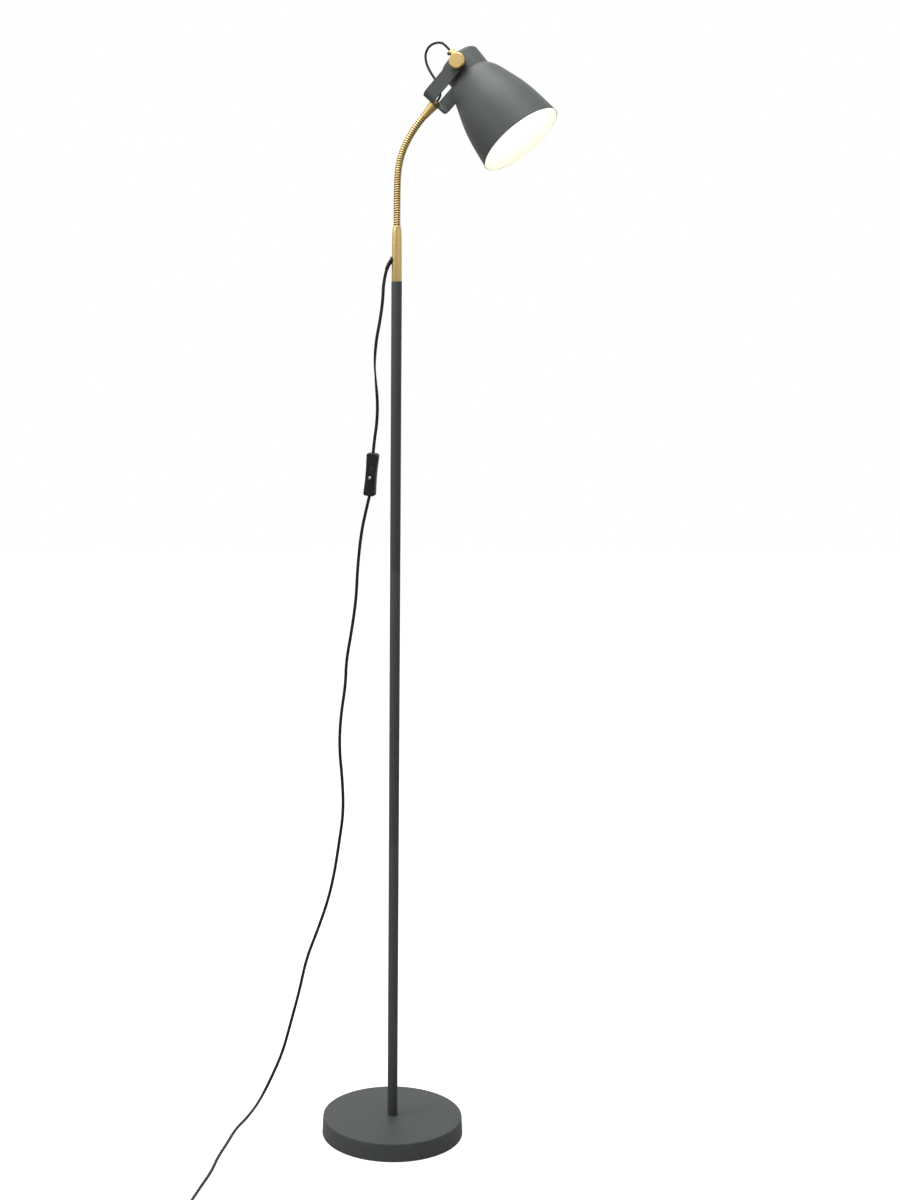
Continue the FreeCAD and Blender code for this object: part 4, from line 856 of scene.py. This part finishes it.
# ---- shade, grip, knobs, holder and lamp
@dataclass
class ShadeHead:
    """Spun bell shade with a white lining, its grip, knobs, lampholder and globe."""

    cap_r: float = 30.2
    cap_top: float = 15.8
    cap_edge: float = 5.0
    bell_top: float = -15.5
    mouth_r: float = 60.9
    mouth_z: float = -130.5
    paint: float = 0.5           # depth at which the grey skin ends and the white lining begins
    skin: float = 0.9
    globe_r: float = 22.5
    globe_z: float = -64.2
    globe_neck_r: float = 16.7
    glass: float = 1.2
    curve: tuple[tuple[float, float], ...] = ((0, 0), (0.231, 0.096), (0.401, 0.217), (0.704, 0.478),
                                              (0.886, 0.739), (1, 1))

    def layer(self, outside: float, inside: float) -> np.ndarray:
        """Closed profile of one layer of the wall, between two depths below its outer surface.

        The outer surface is a flat top, a quarter round, a short cylinder and a spline bell. Each
        side is that line moved inwards, square to itself.

        Args:
            outside: depth of the layer's outer side.
            inside: depth of its inner side.

        Returns:
            (n, 2) radii and heights, round the layer.
        """
        angle = np.linspace(0, np.pi / 2, 10)
        flat = self.cap_r - self.cap_edge
        top = np.stack([flat + self.cap_edge * np.sin(angle),
                        self.cap_top - self.cap_edge * (1 - np.cos(angle))], axis=-1)
        bell = smooth_line([(self.cap_r + (self.mouth_r - self.cap_r) * a,
                             self.bell_top + (self.mouth_z - self.bell_top) * b) for a, b in self.curve], 60)
        line = np.concatenate([[(5.2, self.cap_top), (14, self.cap_top)], top, bell])
        way = np.gradient(line, axis=0)
        way[0] = way[1] = (1, 0)
        way /= np.linalg.norm(way, axis=1, keepdims=True)
        inward = np.stack([way[:, 1], -way[:, 0]], axis=-1)
        return np.concatenate([line + inward * outside, (line + inward * inside)[::-1]])

    def build(self, powder: Material, enamel: Material) -> None:
        """Make the shade and what it carries.

        Args:
            powder: paint of its outside.
            enamel: its white lining.
        """
        for name, outside, inside, slot, finish, nodes in (
                ("shade_spun", 0, self.paint, Slot.PAINT, powder, ("shade",)),
                ("shade_lining", self.paint, self.skin, Slot.WHITE, enamel, ())):
            grid = SHADE_PLACE.put(turn_grid(self.layer(outside, inside), 160))
            dress(surface(name, grid), "shade", slot, finish, *nodes)
        grip = [(2.0, 15.8), (6.2, 15.8, 0.3), (6.2, 27.0, 0.6), (4.3, 27.0, 0.2), (4.3, 33.8, 0.6),
                (2.0, 33.8)]
        dress(turned("grip_turned", grip, SHADE_PLACE, 64), "shade", Slot.BRASS,
              TurnedBrass("brass_grip_turned", SHADE_PLACE).material(), "grip")
        knob = [(2.0, 35.18), (11, 35.18, 0.5), (11, 42.38, 0.15), (9.7, 43.68, 0.15), (0, 43.68),
                (0, 42.0), (2.0, 42.0)]
        for side, sign in (("front", -1), ("back", 1)):
            place = Place.along(PIVOT, PIVOT_DIR * sign, NECK_DIR)
            dress(turned("knob_%s_turned" % side, knob, place, 96), "knob_" + side, Slot.BRASS,
                  TurnedBrass("brass_knob_%s_turned" % side, place).material(), "knob_" + side)
        cap = [(5.2, 11.9), (19.5, 11.9, 5), (19.5, -5.1, 0.3), (17.3, -5.1), (17.3, 9.7), (5.2, 9.7)]
        skirt = [(0, -5.1), (19.5, -5.1, 0.3), (19.5, -37.1, 0.8), (13.8, -37.1, 0.4), (13.8, -9.1),
                 (0, -9.1)]
        plastic = MELAMINE.material()
        for name, shape, node in (("holder_cap_moulded", cap, "holder_cap"),
                                  ("holder_skirt_moulded", skirt, "holder_body")):
            dress(turned(name, shape, SHADE_PLACE, 72), "shade", Slot.HOLDER, plastic, node)
        collar = [(0, -49.1), (17, -49.1, 0.8), (13.45, -39.1, 0.4), (0, -39.1)]
        dress(turned("lamp_collar_moulded", collar, SHADE_PLACE, 72), "shade", Slot.WHITE, COLLAR.material(),
              "lamp_collar")
        angle = np.linspace(math.asin(self.globe_neck_r / self.globe_r), np.pi, 40)
        ball = np.stack([np.sin(angle), np.cos(angle)], axis=-1)
        wall = np.concatenate([ball * self.globe_r, ball[::-1] * (self.globe_r - self.glass)])
        wall += (0, self.globe_z)
        globe = surface("lamp_globe_blown", SHADE_PLACE.put(turn_grid(wall, 80)))
        dress(globe, "shade", Slot.GLASS, OPAL.material(), "lamp_globe")


# ---- cords
UPPER_ROUTE = (
    (-19.4, 0.2, 1245.0), (-23.2, 0.8, 1217.0), (-28.6, 1.4, 1189.5), (-30.9, 2.2, 1158.0),
    (-28.9, 3.0, 1132.0), (-26.2, 4.2, 1102.0), (-26.9, 5.4, 1074.0))
LOWER_ROUTE = (
    (-41.2, 10.0, 951.0), (-49.2, 11.0, 914.0), (-54.4, 13.2, 862.0), (-56.2, 15.0, 817.0),
    (-62.6, 17.2, 770.0), (-70.9, 19.0, 722.0), (-71.6, 20.4, 688.0), (-79.0, 22.6, 638.0),
    (-81.0, 24.6, 590.0), (-76.4, 26.6, 543.0), (-74.6, 29.0, 492.0), (-81.8, 31.6, 441.0),
    (-88.0, 34.0, 398.0), (-97.6, 36.0, 354.0), (-113.4, 39.4, 306.0), (-131.2, 42.6, 258.0),
    (-141.8, 46.0, 206.0), (-155.2, 51.0, 154.0), (-168.2, 56.6, 103.0), (-187.0, 63.0, 57.0),
    (-205.6, 67.0, 17.5), (-223.0, 43.0, 2.0), (-237.4, 6.0, 1.5), (-246.6, -44.0, 1.5),
    (-257.0, -92.0, 1.5), (-262.4, -138.0, 1.5), (-272.6, -182.0, 1.5), (-281.0, -220.0, 1.7),
    (-288.0, -256.0, 2.25))
HEAD_LOOP = (
    (0, 12.2), (-4, 18.2), (-12.8, 23.4), (-24.8, 27.4), (-37.4, 30.4), (-48.6, 35), (-57.6, 42.2),
    (-61.4, 50.4), (-60.8, 59.2), (-54.8, 67.8))


def spline_points(name: str, route: Sequence[Sequence[float]]) -> np.ndarray:
    """Points of the smooth NURBS line whose control points are the route, in millimetres.

    Args:
        name: name of the curve while it exists.
        route: the control points.

    Returns:
        (n, 3) points of the line, doubled ones left out.
    """
    curve = bpy.data.curves.new(name, "CURVE")
    curve.dimensions, curve.resolution_u = "3D", 12
    line = curve.splines.new("NURBS")
    line.points.add(len(route) - 1)
    control = np.ones((len(route), 4))
    control[:, :3] = np.asarray(route) * MM
    line.points.foreach_set("co", control.ravel())
    line.order_u, line.use_endpoint_u = 3, True
    holder = linked(name, curve)
    bpy.context.view_layer.update()
    mesh = bpy.data.meshes.new_from_object(holder.evaluated_get(bpy.context.evaluated_depsgraph_get()))
    points = np.zeros(len(mesh.vertices) * 3)
    mesh.vertices.foreach_get("co", points)
    bpy.data.objects.remove(holder)
    bpy.data.curves.remove(curve)
    bpy.data.meshes.remove(mesh)
    points = points.reshape(-1, 3) / MM
    steps = np.linalg.norm(np.diff(points, axis=0), axis=1)
    return points[np.r_[True, steps > 1e-4]]


@dataclass
class MainsCords:
    """Flat twin flex from the sleeve to the switch and on to the coil and plug, and the head's flex."""

    width: float = 4.5
    thick: float = 3.0
    coil_centre: tuple[float, float] = (-259.0, -293.0)
    coil_r: float = 29.0
    coil_step: float = 4.95
    dip: float = 1.1
    per_turn: int = 16
    flex_r: float = 1.7
    relief_foot: tuple[float, float] = (-7.08, 1301.3)
    relief_start: float = 48.0   # degrees below level where the relief leaves the sleeve
    relief_bend: float = 27.0    # degrees that it bends down on its way
    relief_r: float = 32.0

    def twin(self) -> np.ndarray:
        """Section of two joined cores: half a thickness at each core, a little less between them."""
        angle = np.linspace(0, 2 * np.pi, 28, endpoint=False)
        core = self.width / 2 - self.thick / 2
        x = core * np.tanh(3 * np.cos(angle)) + self.thick / 2 * np.cos(angle)
        y = self.thick / 2 * np.sin(angle) * (1 - 0.16 * np.exp(-(x / 0.7) ** 2))
        return np.stack([x, y], axis=-1)

    def coil(self) -> np.ndarray:
        """Coil's control points: in below for 1.5 turns, up in half a turn, out on top for 1.25."""
        angle = np.linspace(0, 3.25 * 2 * np.pi, int(3.25 * self.per_turn) + 1)
        first, climbed = 3 * np.pi, 4 * np.pi
        step = self.coil_step / (2 * np.pi)
        least = self.coil_r - step * first
        share = np.clip((angle - first) / np.pi, 0, 1)
        radius = np.where(angle < first, self.coil_r - step * angle, least - self.dip * np.sin(np.pi * share))
        radius = np.where(angle > climbed, least + step * (angle - climbed), radius)
        z = self.width / 2 + self.coil_step * share ** 2 * (3 - 2 * share)
        turn = np.pi + angle
        x, y = self.coil_centre
        points = np.stack([x + radius * np.cos(turn), y + radius * np.sin(turn), z], axis=-1)
        lead_in, lead_out = points[0] + (0, 4.5, 0), points[-1] + (self.coil_r + 4.5, 0, 0)
        return np.concatenate([[lead_in], points, [lead_out]])

    def facing(self, line: np.ndarray) -> np.ndarray:
        """Way that the wide face looks: to the front while it hangs, up on the floor, out in the coil.

        Args:
            line: (n, 3) points of the cord.

        Returns:
            A direction for each point.
        """
        x, y, z = line.T
        turn = np.radians(88) * np.exp(-((z - 1145) / 30) ** 2)
        lying = np.clip((75 - z) / 70, 0, 1)
        lying = np.pi / 2 * lying ** 2 * (3 - 2 * lying)
        look = np.stack([np.sin(turn) * np.cos(lying), -np.cos(turn) * np.cos(lying), np.sin(lying)], axis=-1)
        out = np.stack([x - self.coil_centre[0], y - self.coil_centre[1], 0 * z], axis=-1)
        reach = np.linalg.norm(out, axis=1)
        wound = np.clip((90 - reach) / 55, 0, 1) * (z < 30)
        wound = (wound ** 2 * (3 - 2 * wound))[:, None]
        return look * (1 - wound) + out / np.maximum(reach, 1)[:, None] * wound

    def build(self, frame: dict, sheath: Material) -> None:
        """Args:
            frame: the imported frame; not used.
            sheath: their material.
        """
        bent, unbent = np.radians(self.relief_start + self.relief_bend), math.radians(self.relief_start)
        mouth_dir = np.array([-np.cos(bent), 0, -np.sin(bent)])
        mouth = np.array([self.relief_foot[0] - self.relief_r * (np.sin(bent) - math.sin(unbent)), 0,
                          self.relief_foot[1] - self.relief_r * (math.cos(unbent) - np.cos(bent))])
        upper = spline_points("upper_line", [mouth, mouth + mouth_dir * 16, *UPPER_ROUTE,
                                             SWITCH_TOP + SWITCH_UP * 16, SWITCH_TOP])
        lower = spline_points("lower_line", [SWITCH_BOTTOM, *LOWER_ROUTE, *self.coil()])
        bush_end = YOKE_FOOT + NECK_DIR * 7.6
        grip_end = PIVOT + SHADE_BACK * 33.8
        loop = [YOKE_FOOT + YOKE_ACROSS * a + NECK_DIR * b for a, b in HEAD_LOOP]
        head = spline_points("head_line", [bush_end, *loop, grip_end + SHADE_BACK * 12,
                                           PIVOT + SHADE_BACK * 7.6])
        jobs = (("cord_upper_flex", upper, self.twin(), ("cord_upper",)),
                ("cord_lower_flex", lower, self.twin(), ("cord_lower", "cord_coil")),
                ("head_flex", head, circle(self.flex_r, 24), ("head_cable",)))
        made = []
        for name, line, section, replaced in jobs:
            look = self.facing(line) if name != "head_flex" else PIVOT_DIR
            tube = surface(name, closed_ends(carry_grid(line, look, section)), rows_close=False)
            made.append(dress(tube, "" if name == "head_flex" else "root", Slot.CORD, sheath, *replaced))

        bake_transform(made[2])


# ---- studio
FRAME_W, FRAME_H, SENSOR = 900, 1200, 36.0     # the picture in pixels, the sensor in millimetres


@dataclass
class Studio:
    """White backdrop, pale floor, soft lights and the camera at the photograph's angle."""

    eye: tuple[float, float, float] = (-25.4, -2898.4, 1324.0)
    pitch: float = 9.92
    roll: float = 0.207
    focal_px: float = 2037.0
    centre_x: float = 377.45

    def camera(self) -> None:
        """Camera looks along Y, tipped down and rolled a little."""
        data = bpy.data.cameras.new("camera")
        data.lens, data.sensor_width = self.focal_px / FRAME_H * SENSOR, SENSOR
        data.shift_x = (FRAME_W / 2 - self.centre_x) / FRAME_H
        down, roll = math.radians(self.pitch), math.radians(self.roll)
        back = np.array([0, -math.cos(down), math.sin(down)])
        up = np.array([0, math.sin(down), math.cos(down)])
        right = X_AXIS * math.cos(roll) + up * math.sin(roll)
        up = -X_AXIS * math.sin(roll) + up * math.cos(roll)
        place = np.eye(4)
        place[:3, :3], place[:3, 3] = np.stack([right, up, back], axis=1), np.array(self.eye) * MM
        camera = linked("camera", data)
        camera.matrix_world = Matrix(place.tolist())
        bpy.context.scene.camera = camera

    def lamp(self, name: str, at: tuple[float, float, float], size: float, power: float) -> None:
        """Soft square light that looks at the middle of the object.

        Args:
            name: its name.
            at: its place, in metres.
            size: its side, in metres.
            power: its power, in watts.
        """
        data = bpy.data.lights.new(name, "AREA")
        data.shape, data.size, data.energy = "SQUARE", size, power
        light = linked(name, data)
        light.location = at
        light.rotation_euler = (Vector((0, 0, 0.8)) - Vector(at)).to_track_quat("-Z", "Y").to_euler()

    def backdrop(self, strength: float) -> None:
        """World that is white to the eye and in reflections, and moderate as a light.

        Args:
            strength: how strong it is as a light.
        """
        world = bpy.data.worlds.new("studio")
        world.use_nodes = True
        bpy.context.scene.world = world
        tree = world.node_tree
        tree.nodes.clear()
        ray = add_node(tree, "ShaderNodeLightPath")
        seen = add_node(tree, "ShaderNodeMath", {"operation": "MAXIMUM"},
                        {0: ray.outputs["Is Camera Ray"], 1: ray.outputs["Is Transmission Ray"]})
        seen = add_node(tree, "ShaderNodeMath", {"operation": "MAXIMUM"},
                        {0: seen.outputs[0], 1: ray.outputs["Is Glossy Ray"]})
        level = spread(tree, seen.outputs[0], strength, 1)
        sky = add_node(tree, "ShaderNodeBackground", inputs={"Color": (1, 1, 1, 1), "Strength": level})
        add_node(tree, "ShaderNodeOutputWorld", inputs={"Surface": sky.outputs[0]})

    def floor(self) -> None:
        """Pale floor that reads white to the camera and keeps a soft shadow."""
        mesh = bpy.data.meshes.new("studio_floor")
        mesh.from_pydata([(-6, -6, 0), (6, -6, 0), (6, 6, 0), (-6, 6, 0)], [], [(0, 1, 2, 3)])
        floor = linked("studio_floor", mesh)
        material, body, where = new_tree("matt_white_floor", Roughness=0.9, Emission_Color=(1, 1, 1, 1))
        tree = material.node_tree
        mottle(tree, body, where, "#C6C6C6", "#C2C2C2", 400)
        ray = add_node(tree, "ShaderNodeLightPath")
        glow = add_node(tree, "ShaderNodeMath", {"operation": "MULTIPLY"},
                        {0: ray.outputs["Is Camera Ray"], 1: 0.92})
        tree.links.new(glow.outputs[0], body.inputs["Emission Strength"])
        mesh.materials.append(material)

    def build(self) -> None:
        """Set up the camera, the lights and the white surroundings."""
        self.camera()
        self.floor()
        self.backdrop(0.14)
        self.lamp("key_left", (-2.9, -1.1, 2.4), 1.3, 30)
        self.lamp("fill_right", (2.4, -2.4, 1.6), 1.6, 5)
        self.lamp("over", (-0.3, -0.2, 3.4), 1.8, 80)
        bpy.context.scene.view_settings.view_transform = "Standard"


# node, body, slot, finish, and the width of its broken edges in millimetres
MERGED_NODES = (
    ("yoke", "head", Slot.PAINT, POWDER, 0.2), ("yoke_washer", "head", Slot.BRASS, BRASS, 0.2),
    ("yoke_nut", "head", Slot.BRASS, BRASS, 0.3), ("pivot_inner_washers", "head", Slot.BRASS, BRASS, 0.1),
    ("pivot_outer_washers", "head", Slot.BRASS, BRASS, 0.1),
    ("cord_relief", "root", Slot.PLASTIC, SHEATH, 0), ("switch_base", "root", Slot.PLASTIC, ABS, 0),
    ("switch_cover", "root", Slot.PLASTIC, ABS, 0), ("rocker", "rocker", Slot.PLASTIC, ABS, 0),
    ("plug_body", "root", Slot.PLASTIC, ABS, 0))


def main() -> None:
    """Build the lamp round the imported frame."""
    logging.basicConfig(level=logging.INFO, format="%(message)s")
    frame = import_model()
    nodes = frame["nodes"]
    shared = {finish: finish.material() for finish in (POWDER, BRASS, SHEATH, ABS)}
    enamel = ENAMEL.material()
    for finish, names in KEPT_NODES:
        material = finish.material()
        for name in names:
            nodes[name].data.materials.clear()
            nodes[name].data.materials.append(material)
    FootAndPole().build(shared[POWDER])
    Gooseneck().build(shared[SHEATH])
    ShadeHead().build(shared[POWDER], enamel)
    for name, body, slot, finish, edge in MERGED_NODES:
        dress(merged_copy(name + "_moulded", nodes[name], edge), body, slot, shared[finish], name)
    nodes["plug_pins"].data.materials.clear()
    nodes["plug_pins"].data.materials.append(STEEL.material())
    MainsCords().build(frame, shared[SHEATH])
    Studio().build()


if __name__ == "__main__":
    main()
